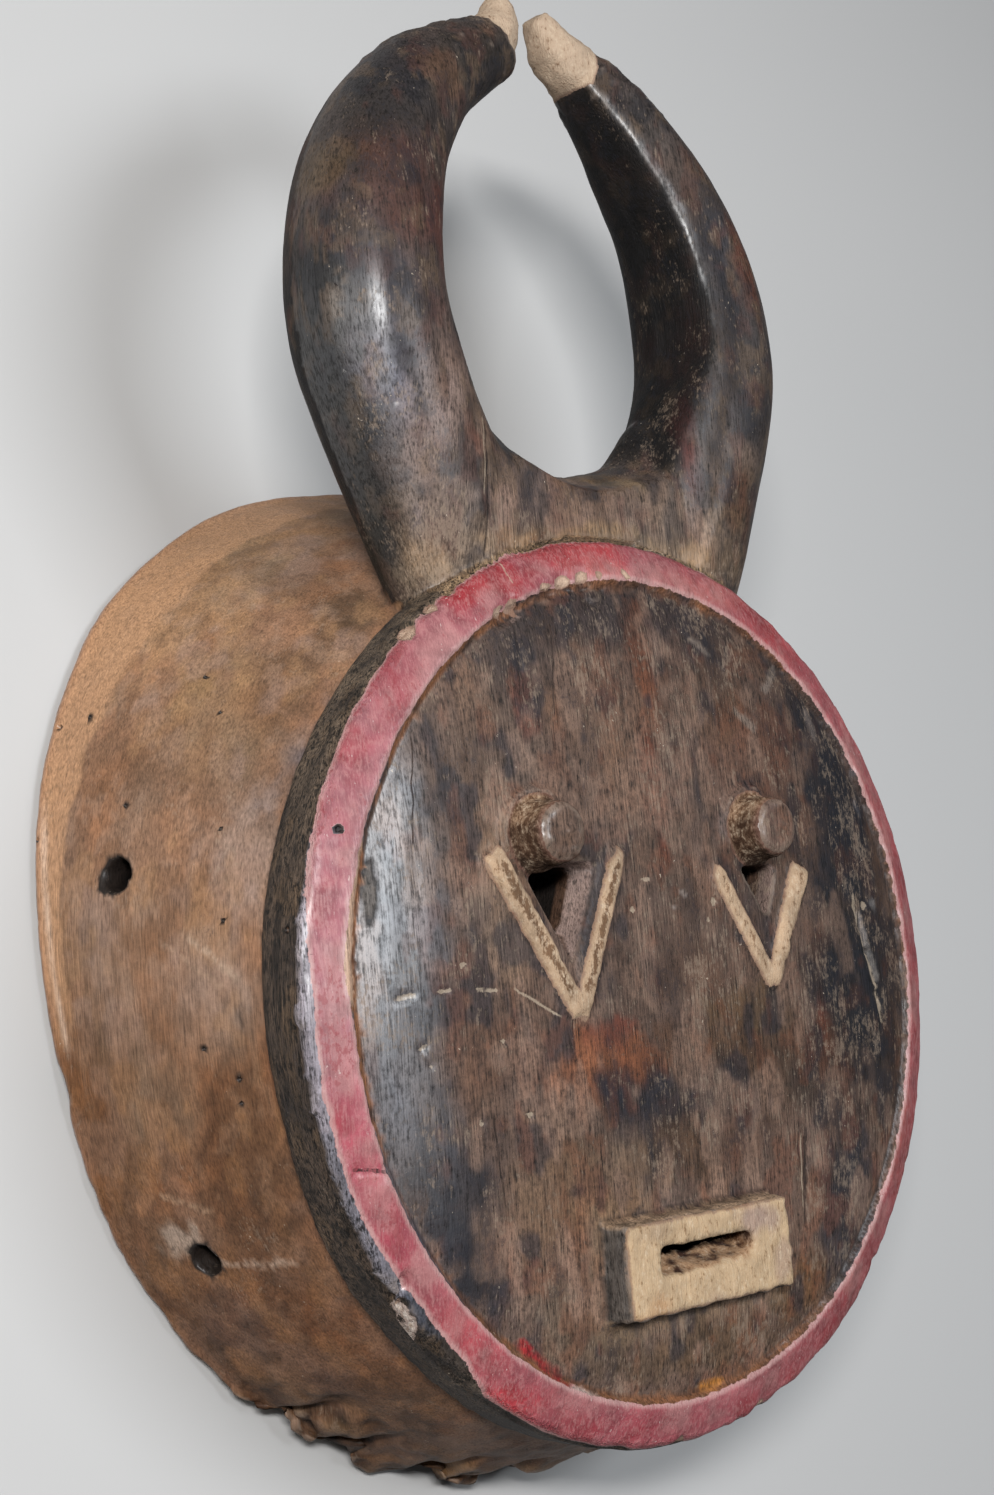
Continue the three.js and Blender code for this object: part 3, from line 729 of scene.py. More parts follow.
# Broad changes of colour: middle, reach each way, colour, strength
FACE_TINTS = [
    # The first, blue-grey down the left edge of the face, is a painted sheen
    ((-102, 5, 5), (17, 90, 40), (100, 102, 112), 0.85),
    ((-86, -60, 5), (14, 26, 40), (52, 54, 64), 0.85), ((-22, 62, 5), (30, 34, 40), (122, 100, 88), 0.75),
    ((-62, 66, 5), (22, 24, 30), (116, 100, 92), 0.7), ((48, 62, 5), (26, 24, 30), (118, 92, 82), 0.75),
    ((22, 92, 5), (28, 18, 30), (102, 82, 74), 0.7), ((-5, 110, 5), (50, 10, 30), (60, 54, 58), 0.9),
    ((-47, 94, 5), (15, 14, 30), (70, 64, 66), 0.8), ((84, 74, 5), (17, 17, 30), (44, 44, 54), 0.95),
    ((90, 44, 5), (16, 24, 30), (34, 35, 46), 1), ((86, -6, 5), (24, 34, 30), (38, 39, 48), 1),
    ((66, -20, 5), (6, 9, 30), (112, 58, 42), 0.9), ((72, -78, 5), (16, 30, 30), (50, 50, 58), 0.9),
    ((-34, -22, 5), (14, 11, 30), (160, 103, 72), 0.85), ((-15, -24, 5), (9, 6, 30), (150, 94, 63), 0.8),
    ((-26, -14, 5), (8, 5, 30), (128, 64, 52), 0.6), ((8, -20, 5), (14, 9, 30), (104, 72, 52), 0.7),
    ((-5, -35, 5), (20, 8, 30), (38, 40, 52), 0.9), ((-24, -30, 5), (7, 5, 30), (38, 42, 56), 0.9),
    ((34, -30, 5), (10, 14, 30), (70, 56, 50), 0.7), ((-50, -54, 5), (20, 18, 30), (126, 104, 86), 0.7),
    ((-30, -66, 5), (12, 9, 30), (134, 112, 92), 0.6), ((18, -50, 5), (16, 8, 30), (112, 84, 70), 0.7),
    ((50, -98, 5), (14, 9, 30), (104, 78, 56), 0.85), ((0, -108, 5), (34, 7, 30), (98, 80, 64), 0.8),
    ((-44, -92, 5), (20, 13, 30), (108, 94, 82), 0.7), ((5, 96, 5), (6, 18, 30), (128, 84, 64), 0.8),
    ((1, 54, 5), (5, 18, 30), (112, 66, 54), 0.85), ((-48, 80, 5), (5, 8, 30), (112, 58, 48), 0.6),
    ((40, 80, 5), (9, 8, 30), (136, 98, 76), 0.6), ((-76, -14, 5), (14, 11, 30), (108, 84, 72), 0.7),
    ((24, 30, 5), (9, 12, 30), (126, 90, 70), 0.7), ((66, 8, 5), (8, 10, 30), (92, 70, 60), 0.7),
    ((30, 6, 5), (12, 12, 30), (108, 84, 72), 0.6), ((-6, 4, 5), (16, 9, 30), (92, 74, 66), 0.7),
    ((54, 20, 5), (6, 5, 30), (132, 116, 104), 0.6), ((-62, 24, 5), (8, 24, 30), (150, 130, 116), 0.65),
    ((38, -24, 5), (34, 15, 30), (88, 70, 56), 0.75), ((2, -50, 5), (14, 8, 30), (84, 68, 56), 0.8),
    ((-24, -52, 5), (14, 9, 30), (124, 104, 88), 0.7), ((30, 84, 5), (14, 12, 30), (92, 76, 66), 0.6),
    ((20, -34, 5), (9, 7, 30), (50, 44, 44), 0.6), ((56, -36, 5), (8, 6, 30), (52, 46, 44), 0.6),
    ((30, -10, 5), (18, 6, 30), (104, 84, 62), 0.6),
]
HORN_TINTS = [
    # The second and third, pale and blue-grey down the front of the left horn, are painted sheen
    ((-68, 180, 6), (16, 34, 20), (122, 106, 100), 0.8),
    ((-68, 156, 3), (14, 26, 16), (156, 140, 134), 0.75),
    ((-85, 182, 4), (7, 34, 16), (148, 148, 160), 0.7), ((-74, 216, 6), (22, 30, 20), (80, 70, 68), 0.7),
    ((-76, 234, 0), (12, 16, 22), (98, 66, 56), 0.7), ((-60, 225, 6), (8, 14, 14), (104, 62, 52), 0.7),
    ((-87, 243, -12), (8, 7, 12), (112, 90, 60), 0.65), ((-48, 276, 2), (7, 7, 12), (110, 90, 62), 0.6),
    ((-72, 262, 0), (16, 12, 20), (60, 54, 50), 0.8), ((-28, 284, 0), (16, 10, 20), (58, 52, 46), 0.8),
    ((-90, 204, -6), (11, 20, 14), (34, 36, 44), 0.85), ((-94, 186, -22), (8, 30, 20), (24, 24, 26), 0.9),
    ((-83, 150, -20), (11, 34, 18), (34, 28, 24), 0.95),
    ((-56, 142, 2), (12, 14, 14), (126, 110, 98), 0.8),
    ((-44, 152, 0), (8, 22, 14), (146, 124, 108), 0.8), ((-50, 158, 0), (4, 5, 12), (128, 82, 64), 0.6),
    ((-22, 144, -3), (24, 14, 16), (152, 128, 114), 0.85),
    ((-64, 121, -8), (14, 10, 14), (182, 156, 126), 0.9),
    ((14, 146, -8), (30, 14, 16), (150, 126, 110), 0.85),
    ((40, 140, -2), (22, 15, 16), (150, 130, 112), 0.8),
    ((58, 165, 2), (14, 18, 16), (120, 104, 92), 0.8), ((0, 133, -4), (56, 5, 12), (172, 144, 112), 0.9),
    ((15, 156, -9), (9, 3, 8), (180, 154, 118), 0.8), ((-30, 150, -4), (4, 7, 10), (84, 72, 66), 0.6),
    ((56, 134, -2), (8, 7, 12), (86, 78, 70), 0.6), ((60, 150, 0), (8, 8, 12), (104, 72, 48), 0.7),
    ((42, 200, -18), (11, 40, 20), (26, 22, 22), 0.95), ((50, 240, -18), (9, 26, 20), (30, 22, 22), 0.95),
    ((36, 270, -20), (9, 18, 18), (28, 24, 24), 0.9), ((50, 208, -12), (5, 14, 10), (88, 46, 38), 0.7),
    ((70, 205, 4), (9, 30, 14), (74, 70, 70), 0.8), ((60, 236, 0), (8, 14, 16), (52, 52, 58), 0.75),
    ((50, 262, 0), (8, 12, 16), (92, 80, 72), 0.7), ((74, 236, -6), (6, 24, 16), (104, 60, 40), 0.8),
    ((84, 190, -8), (7, 26, 18), (88, 58, 42), 0.8), ((40, 276, -4), (8, 10, 14), (84, 78, 74), 0.7),
    ((44, 172, -6), (3, 14, 8), (122, 56, 48), 0.8), ((11, 160, -14), (10, 6, 10), (130, 104, 70), 0.75),
    ((-78, 128, -30), (12, 20, 14), (58, 52, 38), 0.8), ((0, 160, -34), (60, 30, 10), (66, 52, 42), 0.8),
    ((64, 178, 6), (8, 10, 10), (50, 48, 50), 0.7),
]
SHELL_TINTS = [
    ((-85, 124, -86), (50, 30, 26), (184, 146, 110), 0.75),
    ((-112, 84, -48), (20, 20, 20), (158, 120, 86), 0.7),
    ((-100, 96, -62), (16, 14, 12), (176, 136, 92), 0.7),
    ((-122, 46, -28), (12, 20, 11), (160, 134, 120), 0.8),
    ((-132, 6, -38), (12, 18, 14), (158, 132, 116), 0.75),
    ((-128, 70, -66), (16, 18, 12), (136, 100, 74), 0.7),
    ((-138, 24, -72), (14, 18, 14), (150, 122, 102), 0.7),
    ((-138, -18, -62), (12, 18, 16), (150, 124, 104), 0.7),
    ((-140, -22, -84), (12, 34, 12), (128, 94, 66), 0.7),
    ((-143, -44, -94), (12, 50, 12), (146, 100, 62), 0.75),
    ((-118, -80, -66), (28, 26, 34), (108, 80, 58), 0.75),
    ((-126, -40, -34), (12, 34, 14), (106, 78, 56), 0.75),
    ((-84, -112, -60), (40, 24, 40), (92, 68, 48), 0.8),
    ((-50, -130, -70), (50, 20, 40), (84, 62, 44), 0.8),
    ((-100, 100, -34), (24, 22, 8), (112, 82, 58), 0.75),
    ((-112, -84, -62), (12, 12, 12), (124, 98, 88), 0.6),
    ((-98, -104, -48), (10, 10, 10), (116, 88, 78), 0.6),
    ((-122, -62, -74), (8, 14, 12), (156, 118, 86), 0.6),
    ((-70, 128, -52), (16, 12, 14), (146, 104, 74), 0.7),
    ((-130, -60, -60), (10, 12, 10), (140, 112, 92), 0.6),
    ((0, 160, -90), (120, 30, 30), (160, 124, 88), 0.6),
    ((130, 0, -60), (40, 140, 60), (140, 106, 78), 0.6),
    ((0, -150, -70), (120, 24, 50), (96, 72, 52), 0.6),
]
RAW_TINTS = [
    ((20, -72, 10), (6, 4, 20), (172, 146, 138), 0.7), ((28, -86, 10), (3, 6, 20), (180, 152, 138), 0.5),
    ((14, -67, 10), (6, 3, 20), (172, 130, 90), 0.6), ((-28, -92, 10), (5, 5, 20), (196, 150, 108), 0.6),
    ((-24, -70, 10), (6, 3, 20), (176, 150, 124), 0.6), ((0, -96, 10), (14, 3, 20), (190, 162, 140), 0.5),
]
BAND_TINTS = [
    ((-124, 10, 2), (12, 60, 20), (170, 112, 120), 0.7),
    ((-108, 66, 2), (14, 26, 20), (170, 112, 118), 0.7),
    ((-76, 102, 2), (16, 14, 20), (178, 116, 120), 0.7), ((-60, 118, -1), (24, 5, 8), (158, 44, 50), 0.9),
    ((-20, 129, 0), (26, 6, 12), (176, 60, 62), 0.8), ((-4, 124, 4), (16, 4, 10), (200, 128, 122), 0.6),
    ((30, 120, 3), (30, 5, 12), (196, 128, 122), 0.6), ((70, 104, 0), (40, 6, 12), (170, 70, 74), 0.6),
    ((112, 56, 0), (10, 40, 12), (184, 92, 92), 0.5), ((118, -10, 0), (10, 30, 12), (158, 62, 66), 0.6),
    ((-118, -34, 3), (9, 16, 12), (188, 84, 98), 0.6), ((-108, -60, 3), (9, 16, 14), (182, 76, 92), 0.6),
    ((-88, -94, 2), (16, 14, 12), (186, 78, 84), 0.6), ((-70, -112, -1), (22, 6, 8), (178, 44, 52), 0.75),
    ((-44, -112, 4), (14, 5, 12), (186, 128, 126), 0.6),
    ((-20, -126, 1), (20, 8, 12), (176, 84, 92), 0.6), ((30, -124, 1), (30, 6, 12), (178, 104, 108), 0.6),
    ((80, -96, 1), (20, 20, 12), (164, 82, 84), 0.6), ((104, -60, 1), (12, 20, 12), (178, 96, 88), 0.6),
]
# Smaller dabs of colour strewn over each part: part, grain size, seed, colour, strength
DABS = [
    ("face", (9, 14, 9), 100, (44, 46, 58), 0.68), ("face", (7, 11, 7), 103, (128, 80, 58), 0.3),
    ("face", (10, 18, 10), 106, (154, 132, 122), 0.5), ("face", (4, 6, 4), 109, (70, 52, 48), 0.25),
    ("horn", (8, 14, 8), 112, (38, 38, 44), 0.6), ("horn", (5, 8, 5), 115, (130, 108, 84), 0.4),
    ("horn", (6, 11, 6), 118, (104, 66, 54), 0.35), ("shell", (12, 18, 12), 121, (166, 136, 120), 0.5),
    ("shell", (9, 13, 9), 124, (112, 82, 58), 0.4), ("shell", (10, 14, 10), 127, (186, 142, 102), 0.35),
    ("shell", (4, 6, 4), 136, (124, 92, 70), 0.3), ("side", (3, 14, 3), 130, (32, 24, 18), 0.8),
    ("side", (3, 18, 3), 133, (96, 76, 56), 0.5), ("shell", (5, 8, 5), 139, (176, 144, 122), 0.3),
]


def toward(colours, share, colour):
    """The colours, moved towards another by a share for each point."""
    return colours + (colour - colours) * share[:, None]


def stained(points, base, tints, seed):
    """The base colours with broad stains whose edges wander."""
    moved = wander(points, (9, 14, 9), 4, seed)
    fray = 0.6 * lattice_noise(points, (4, 7, 4), seed + 4)
    fray += 0.5 * lattice_noise(points, (2.2, 3.6, 2.2), seed + 5)
    for middle, reach, colour, strength in tints:
        off = np.linalg.norm((moved - np.array(middle)) / np.array(reach), axis=1)
        base = toward(base, strength * smooth_step(1.5, 0.55, off + 0.45 * fray), seen(*colour))
    return base


def stain_all(skin, fine):
    """The wood's own colours with broad stains, warmer and cooler and lighter and darker along the grain."""
    noise, y, z, inset, turn = skin.noise, skin.y, skin.z, skin.inset, skin.turn
    tone = np.tile(seen(*SHELL_TINT), (len(skin.points), 1))
    tone[skin.side] = seen(*SIDE_TINT)
    upper = skin.side * smooth_step(170, 135, turn) * smooth_step(60, 110, turn)
    tone = toward(tone, upper, seen(108, 92, 76))
    tone[(z > -1) & (inset > -1) & (inset < 17)] = seen(120, 78, 52)
    tone[(z > -6) & (inset > -1) & (inset < 9) & (turn > 213) & (turn < 240)] = seen(60, 50, 42)
    tone[skin.face] = seen(*FACE_TINT)
    tone[skin.horn] = seen(*HORN_TINT)
    stain = stained(skin.points, tone, FACE_TINTS + HORN_TINTS + SHELL_TINTS, 40)
    warm = noise((13, 22, 13), 50) + 0.5 * noise((5, 8, 5), 51)
    warm *= np.where(skin.shell, 0.09, 0.08)
    bright = noise((20, 34, 20), 52) + 0.6 * noise((7, 12, 7), 53)
    hatch = skin.strokes(((3, 10, 2.6), 45, 1), ((2, 6, 1.8), 46, 0.6))
    light = np.where(skin.shell, 0.12, 0.22) * bright + np.where(skin.shell, 0.1, 0.14) * fine
    light += skin.shell * hatch * (0.1 + 0.26 * smooth_step(20, -50, y))
    hue = np.stack([1 + warm, 1 - 0.2 * warm, 1 - 1.6 * warm], 1)
    stain = stain * hue * np.maximum(1 + light, 0.25)[:, None]
    stain = toward(stain, skin.side, tone * (1 + 0.25 * noise((6, 18, 4), 54))[:, None])
    return toward(stain, skin.inside, seen(*HOLLOW_TINT) * (1 + 0.2 * noise(9, 55))[:, None])


def strew_dabs(skin, stain, fine):
    """A pale frame left of and below the mouth, which is a painted sheen, and dabs of colour strewn over each
    part.
    """
    # Painted sheen: a pale frame on the face, left of and below the mouth
    frame = skin.face * smooth_step(9, 3, skin.mouth + 2.5 * fine) * smooth_step(-2, 1, skin.mouth)
    frame = frame * 0.5 * smooth_step(8, -4, (skin.x - MOUTH[0]) * 0.3 + (skin.y - MOUTH[1]) * 0.6)
    stain = toward(stain, frame, seen(146, 128, 108))
    places = {"face": skin.face & ~skin.pegs, "horn": skin.horn, "shell": skin.shell, "side": skin.side}
    for where, size, seed, colour, strength in DABS:
        field = skin.noise(size, seed) + 0.55 * skin.noise(tuple(0.4 * v for v in size), seed + 1)
        stain = toward(stain, places[where] * strength * smooth_step(0.22, 0.5, field), seen(*colour))
    return stain


def stain_face(skin, stain):
    x, y = skin.x, skin.y
    stain[skin.face] *= (0.87, 0.765, 0.655)
    shade = 0.26 * smooth_step(-45, -80, y) - 0.14 * smooth_step(30, 80, x) * smooth_step(-60, -30, y)
    shade -= 0.13 * smooth_step(-50, -20, x) * smooth_step(-50, -10, y)
    stain *= (1 + skin.face * shade)[:, None]
    stain[skin.pegs & (skin.above > 9)] *= 1.15
    slip = in_oval(skin.points, *SLIP)
    stain[skin.face & (slip < 0.85)] = seen(100, 92, 86)
    stain[skin.face & (slip > 0.85) & (slip < 1.2)] = seen(52, 46, 44)


def crust_and_shade_on_horn(skin):
    """The left horn's outer side below its bend, darkened: crust, and partly painted shade."""
    outer = smooth_step(-5, -14, skin.z) * smooth_step(0.1, -0.2, skin.normals[:, 0])
    return (skin.horn & (skin.x < 0)) * outer * smooth_step(205, 185, skin.y)


def stain_horns(skin, stain):
    stain[skin.horn] *= (0.78, 0.73, 0.72)
    inner_wall = (skin.horn & (skin.x > 0) & (skin.y > 160)) * smooth_step(-0.45, -0.8, skin.normals[:, 0])
    stain *= (1 - 0.75 * inner_wall)[:, None]
    stain *= (1 - 0.5 * crust_and_shade_on_horn(skin))[:, None]


def stain_groove(skin, stain):
    """Rust in the groove, orange at the left and darker at the right, with dark patches of painted shade
    along it.
    """
    turn = skin.turn
    groove = (skin.z > -1) & (skin.inset > 13.7) & (skin.inset < 16.2) & ~skin.horn
    left = smooth_step(205, 190, turn) * smooth_step(100, 125, turn)
    right = np.maximum(smooth_step(75, 55, turn), smooth_step(290, 305, turn))
    stain = toward(stain, 0.85 * groove * right, seen(58, 47, 42))
    # Painted shade: dark patches along the groove's rust
    groove_shade = smooth_step(0.05, 0.35, skin.noise((7, 9, 7), 47))
    rust_and_shade = toward(np.tile(seen(150, 98, 62), (len(groove_shade), 1)), groove_shade, seen(74, 52, 40))
    stain = toward(stain, groove * (0.45 + 0.5 * left) * (1 - 0.85 * right), rust_and_shade)
    stain[skin.side & (skin.y > 100) & (skin.x > -66) & (skin.x < 64)] = seen(150, 124, 96)
    return stain


def stain_shell(skin, stain, fine):
    """Darker and more orange below, partly painted shade; bare where the rear was rubbed; at the rot, painted
    light on the lumps and painted shade in the pits; orange-brown along the lip, with a painted highlight on
    it.
    """
    y, down, turn, shell = skin.y, skin.down, skin.shell_turn, skin.shell
    rear = 0.71 + 0.14 * smooth_step(128, 172, turn) + 0.02 * skin.noise(9, 58)
    rubbed = smooth_step(188, 176, turn) * smooth_step(95, 112, turn)
    rubbed = rubbed * shell * smooth_step(0, 0.02, down - rear)
    # Painted shade, partly the shell's own colour: darker and more orange towards the bottom
    low = smooth_step(16, -16, y)[:, None] * np.array((0.2, 0.3, 0.42))
    lowest = smooth_step(-20, -75, y)[:, None] * np.array((0, 0.03, 0.03))
    stain = stain * (1 - shell[:, None] * (low + lowest))
    stain = toward(stain, 0.75 * rubbed, seen(208, 160, 120))
    # At the rot, painted light on the raised lumps and painted shade in the pits
    crumble = shell * skin.crumbling()
    lumps = skin.noise((10, 10, 12), 32) + 0.5 * skin.noise((5, 5, 6), 33)
    stain = toward(stain, 0.6 * crumble * smooth_step(-0.2, 0.9, lumps), seen(166, 130, 92))
    stain *= (1 - 0.7 * crumble * smooth_step(0.35, 0.7, skin.noise((3.6, 3.6, 4.5), 34)))[:, None]
    stain = toward(stain, 0.55 * worn_lip(skin), seen(176, 112, 64))
    # A painted highlight along the lip at the left
    ridge = np.interp(turn, [160, 170, 186], [0.945, 0.928, 0.912])
    painted_glint = ~skin.inside * (skin.z < -60) * np.exp(-((down - ridge) / 0.013) ** 2)
    painted_glint = painted_glint * smooth_step(157, 162, turn) * smooth_step(188, 184, turn)
    return toward(stain, 0.8 * painted_glint * (0.7 + 0.3 * fine), seen(236, 206, 182))


def worn_lip(skin):
    return smooth_step(0.93, 0.99, skin.down) * ~skin.inside * (skin.z < -60)


def draw_lines(skin, stain, fine):
    """Scratches, scuffs and streaks, each along its own line."""
    moved = wander(skin.points, 3, 0.7, 48)
    groups = ((SHELL_LINES, 0.68 * skin.shell), (GROOVE_LINES, 0.9), (FACE_MARKS, 0.75 * skin.face))
    for lines, where in groups:
        for start, end, half_width, colour in lines:
            run = np.array(end) - start
            way = np.clip((moved - start) @ run / (run @ run), 0, 1)
            off = np.linalg.norm(moved - start - way[:, None] * run, axis=1) / half_width
            stain = toward(stain, where * smooth_step(1.3, 0.5, off + 0.25 * fine), seen(*colour))
    return stain


def stain_cuts(skin, stain, fine):
    """The walls of the mouth block, with painted light on those that face up; the recesses under the pegs;
    and the holes through the plate, painted dark as painted shade.
    """
    z, normals, mouth = skin.z, skin.normals, skin.mouth
    walls = skin.face & (mouth > -1.5) & (mouth < 2.5) & (normals[:, 2] < 0.6) & (z > 4)
    stain = toward(stain, walls, seen(102, 94, 88) * (1 + 0.35 * fine)[:, None])
    # Painted light: the walls of the block that face up are made lighter
    stain = toward(stain, walls & (normals[:, 1] > 0.4), seen(168, 140, 114) * (1 + 0.6 * fine)[:, None])
    recess = skin.face & ~skin.pegs & (skin.arm < 0.6) & (skin.above < -0.5)
    stain[recess & (normals[:, 2] < 0.75) & (skin.y > -8)] = seen(150, 126, 116)
    # Painted shade: the walls of the holes through the plate are near black, the front of those facing left a
    # lighter brown
    shaded_bore = (z < 2) & (z > -15) & (skin.off_shell < -18) & (np.abs(normals[:, 2]) < 0.6)
    stain[shaded_bore] = seen(30, 22, 17)
    stain[shaded_bore & (normals[:, 0] < -0.5) & (z > -2)] = seen(96, 70, 54)
    return stain


def stain_holes(skin, stain, fine):
    """Insect and lashing holes painted dark as painted shade, with dust by one; and how near a hole each
    point lies.
    """
    near = np.full(len(skin.points), 9.0)
    places = [(place, size) for place, _, size in PLATE_HOLES]
    places += [(shell_point(turn, down), size) for turn, down, size in INSECT_HOLES]
    for place, size in places:
        near = np.minimum(near, np.linalg.norm(skin.points - np.array(place), axis=1) / size)
    # Painted shade: the insect holes are near black
    stain[near < 1.2] = seen(26, 18, 14)
    for angle, aim, down, radius in LASHING_HOLES:
        way = np.array((math.cos(math.radians(aim)), math.sin(math.radians(aim)), 0))
        for mirror in ((1, 1, 1), (-1, 1, 1)):
            off = (skin.points - np.array(shell_point(angle, down)) * mirror) * mirror
            along = off @ way
            outwards = off - along[:, None] * way
            across = np.linalg.norm(outwards, axis=1)
            facing = np.sum(skin.normals * mirror * outwards, axis=1) / np.maximum(across, 1)
            wall = (across < radius + 1.6) & (np.abs(along) < 20) & (facing < -0.3)
            # Painted shade on the walls of the lashing holes
            stain[wall] = seen(36, 26, 20)
            near[wall] = 0
    dust = np.linalg.norm((skin.points - np.array((-128.5, -60.5, -64))) / (8, 5.5, 7), axis=1)
    share = skin.shell * (near > 1.2) * 0.66 * smooth_step(1.3, 0.5, dust + 0.5 * fine)
    return toward(stain, share, seen(200, 178, 160)), near


def worn_strip(skin):
    """The band's outer edge at the left, polished grey by hands."""
    return (skin.turn > 158) & (skin.turn < 216) & (skin.inset > -0.3) & (skin.z > -1.2) & (skin.inset < 8)


def stain_band_edges(skin, stain):
    stain[worn_strip(skin)] = seen(122, 118, 126)
    stain[worn_strip(skin) & (skin.turn < 194)] = seen(150, 142, 150)
    inner = (skin.z > 0) & (skin.inset > 9) & (skin.inset < 14.6)
    stain[inner & (skin.x < -80) & (skin.y > 2) & (skin.y < 46)] = seen(196, 160, 134)


def paint_band(skin):
    """How deep a point lies inside the red paint, and the paint's colour."""
    noise = skin.noise
    band_in, _ = band_place(wander(skin.points, 2.2, 0.4, 60))
    worn_at = [0, 90, 130, 155, 168, 178, 188, 205, 218, 228, 234, 250, 360]
    outer = np.interp(skin.turn, worn_at, [-1, -1, -0.5, 0.2, 1.6, 3.4, 3, 2.8, 4.4, 4, 0.5, -0.5, -1])
    inner = np.interp(skin.turn, [0, 160, 166, 174, 182, 360], [13.6, 13.6, 12.4, 11.2, 13.6, 13.6])
    paint = np.minimum(np.minimum(band_in - outer, inner - band_in), (skin.z + 1.4) * 1.5)
    tint = stained(skin.points, np.tile(seen(168, 92, 98), (len(paint), 1)), BAND_TINTS, 61)
    middle = np.exp(-((band_in - 6.5) / 3.2) ** 2)[:, None]
    tint = tint * (1.12 - 0.22 * middle * np.array((0.6, 1.4, 1.2)))
    patches = noise((11, 14, 11), 67) + 0.5 * noise(5, 68)
    dusty = 0.5 * smooth_step(0.1, 0.5, patches) * smooth_step(3, 8, band_in)
    tint = toward(tint, dusty, seen(190, 142, 138))
    deep_red = 0.5 * smooth_step(0.05, 0.45, -patches) * smooth_step(10, 5, band_in)
    tint = toward(tint, deep_red, seen(152, 40, 48))
    tint *= (1 + 0.24 * noise(5, 62) + 0.26 * noise(2.6, 63))[:, None]
    # Towards the right the paint is made darker and redder, partly painted shade
    return paint, tint * (0.93 - smooth_step(0, 60, skin.x)[:, None] * np.array((0.06, 0.13, 0.17)))


def bare_parts(skin, fine):
    """How deep a point lies inside raw wood, and its colour: arms, mouth, peg sides, horn tips and chips."""
    noise, x, y, z = skin.noise, skin.x, skin.y, skin.z
    ragged = wander(skin.points, 2.2, 0.4, 60)
    raw = np.maximum(np.minimum(np.minimum(skin.arm + 0.5, (skin.above - 0.3) * 1.8), 9), -9)
    tone = seen(198, 168, 138) * (1 + 0.2 * fine + 0.14 * noise((1.8, 6, 1.8), 69))[:, None]
    lips = np.minimum(-past_rectangle(ragged, *MOUTH) - 0.4, (z - LIPS_Z + 1.5) * 1.2)
    lips = np.maximum(lips, np.where((skin.slot < 1.6) & (z > -6) & (z < LIPS_Z), 2, -9))
    raw = np.maximum(raw, lips)
    mouth = (lips > -1)[:, None]
    lip_tone = seen(209, 179, 143) * (1 + 0.1 * noise(4, 65) + 0.1 * noise(2.2, 66))[:, None]
    tone = np.where(mouth, lip_tone, tone)
    eaten = smooth_step(0.1, 0.4, noise((2.2, 2, 2.2), 90) + 0.03 * (y - SLOT[1]))
    slope = toward(np.tile(seen(184, 146, 112), (len(raw), 1)), eaten, seen(72, 44, 30))
    tone = np.where(deep_in_slot(skin)[:, None], slope, tone)
    tone = np.where(mouth, stained(skin.points, tone, RAW_TINTS, 64), tone)
    for eye in EYES:
        dx, dy = x - eye["peg"][0], y - eye["peg"][1]
        off = np.hypot(dx, dy)
        sides = np.minimum(12.2 - off, (11 - skin.above) * 0.8)
        sides = np.minimum(sides, np.maximum(off - 8.3, 9.3 - skin.above))
        raw = np.maximum(raw, sides)
        upper = smooth_step(6, 10, dy - 0.5 * dx)
        shade = toward(np.tile(seen(104, 80, 62), (len(raw), 1)), upper, seen(158, 128, 102))
        tone = np.where((sides > -1)[:, None], shade * (1 + 0.35 * fine)[:, None], tone)
    left_tip = ((ragged[:, 0] + 22.5) * 17.8 + (ragged[:, 1] - 304.2) * 16.2) / 24.1
    right_tip = (-(ragged[:, 0] - 37.1) * 14.6 + (ragged[:, 1] - 303.2) * 17.3) / 22.6
    right_tip += 2.2 - 0.45 * np.abs((ragged[:, 0] - 20) + 0.8 * (ragged[:, 1] - 292))
    tips = np.where(x < 1.2, left_tip, np.minimum(right_tip, 4))
    raw = np.maximum(raw, np.where(y > 250, tips, -9))
    tone[y > 280] = seen(206, 180, 154)
    far = wander(skin.points, 2.6, 1.1, 24)
    for middle, radius, _ in BAND_CHIPS:
        off = np.linalg.norm(far - np.array(middle), axis=1)
        raw = np.maximum(raw, radius * 0.8 - off)
        tone[off < radius * 1.3] = seen(216, 184, 160)
    off, _ = to_line(far, *BAND_GOUGE[1:])
    raw = np.maximum(raw, np.where((skin.normals[:, 2] > 0.1) & (z > -9), 1.2 - off, -9))
    tone[off < 3] = seen(232, 218, 206)
    return raw, tone


def deep_in_slot(skin):
    return (skin.slot < 0.9) & (skin.z < LIPS_Z - 1.2)


def arm_grooves(skin):
    """Dark marks along the middle of the V arms, stronger on the left eye."""
    marks = np.zeros(len(skin.points))
    for eye, amount in ((LEFT_EYE, 1.0), (RIGHT_EYE, 0.4)):
        for top in (eye["outer"], eye["inner"]):
            off, way = to_line(skin.points, top, eye["tip"])
            line = smooth_step(1.8, 0.6, off) * smooth_step(0.02, 0.1, way) * smooth_step(0.95, 0.8, way)
            marks = np.maximum(marks, amount * line)
    return marks


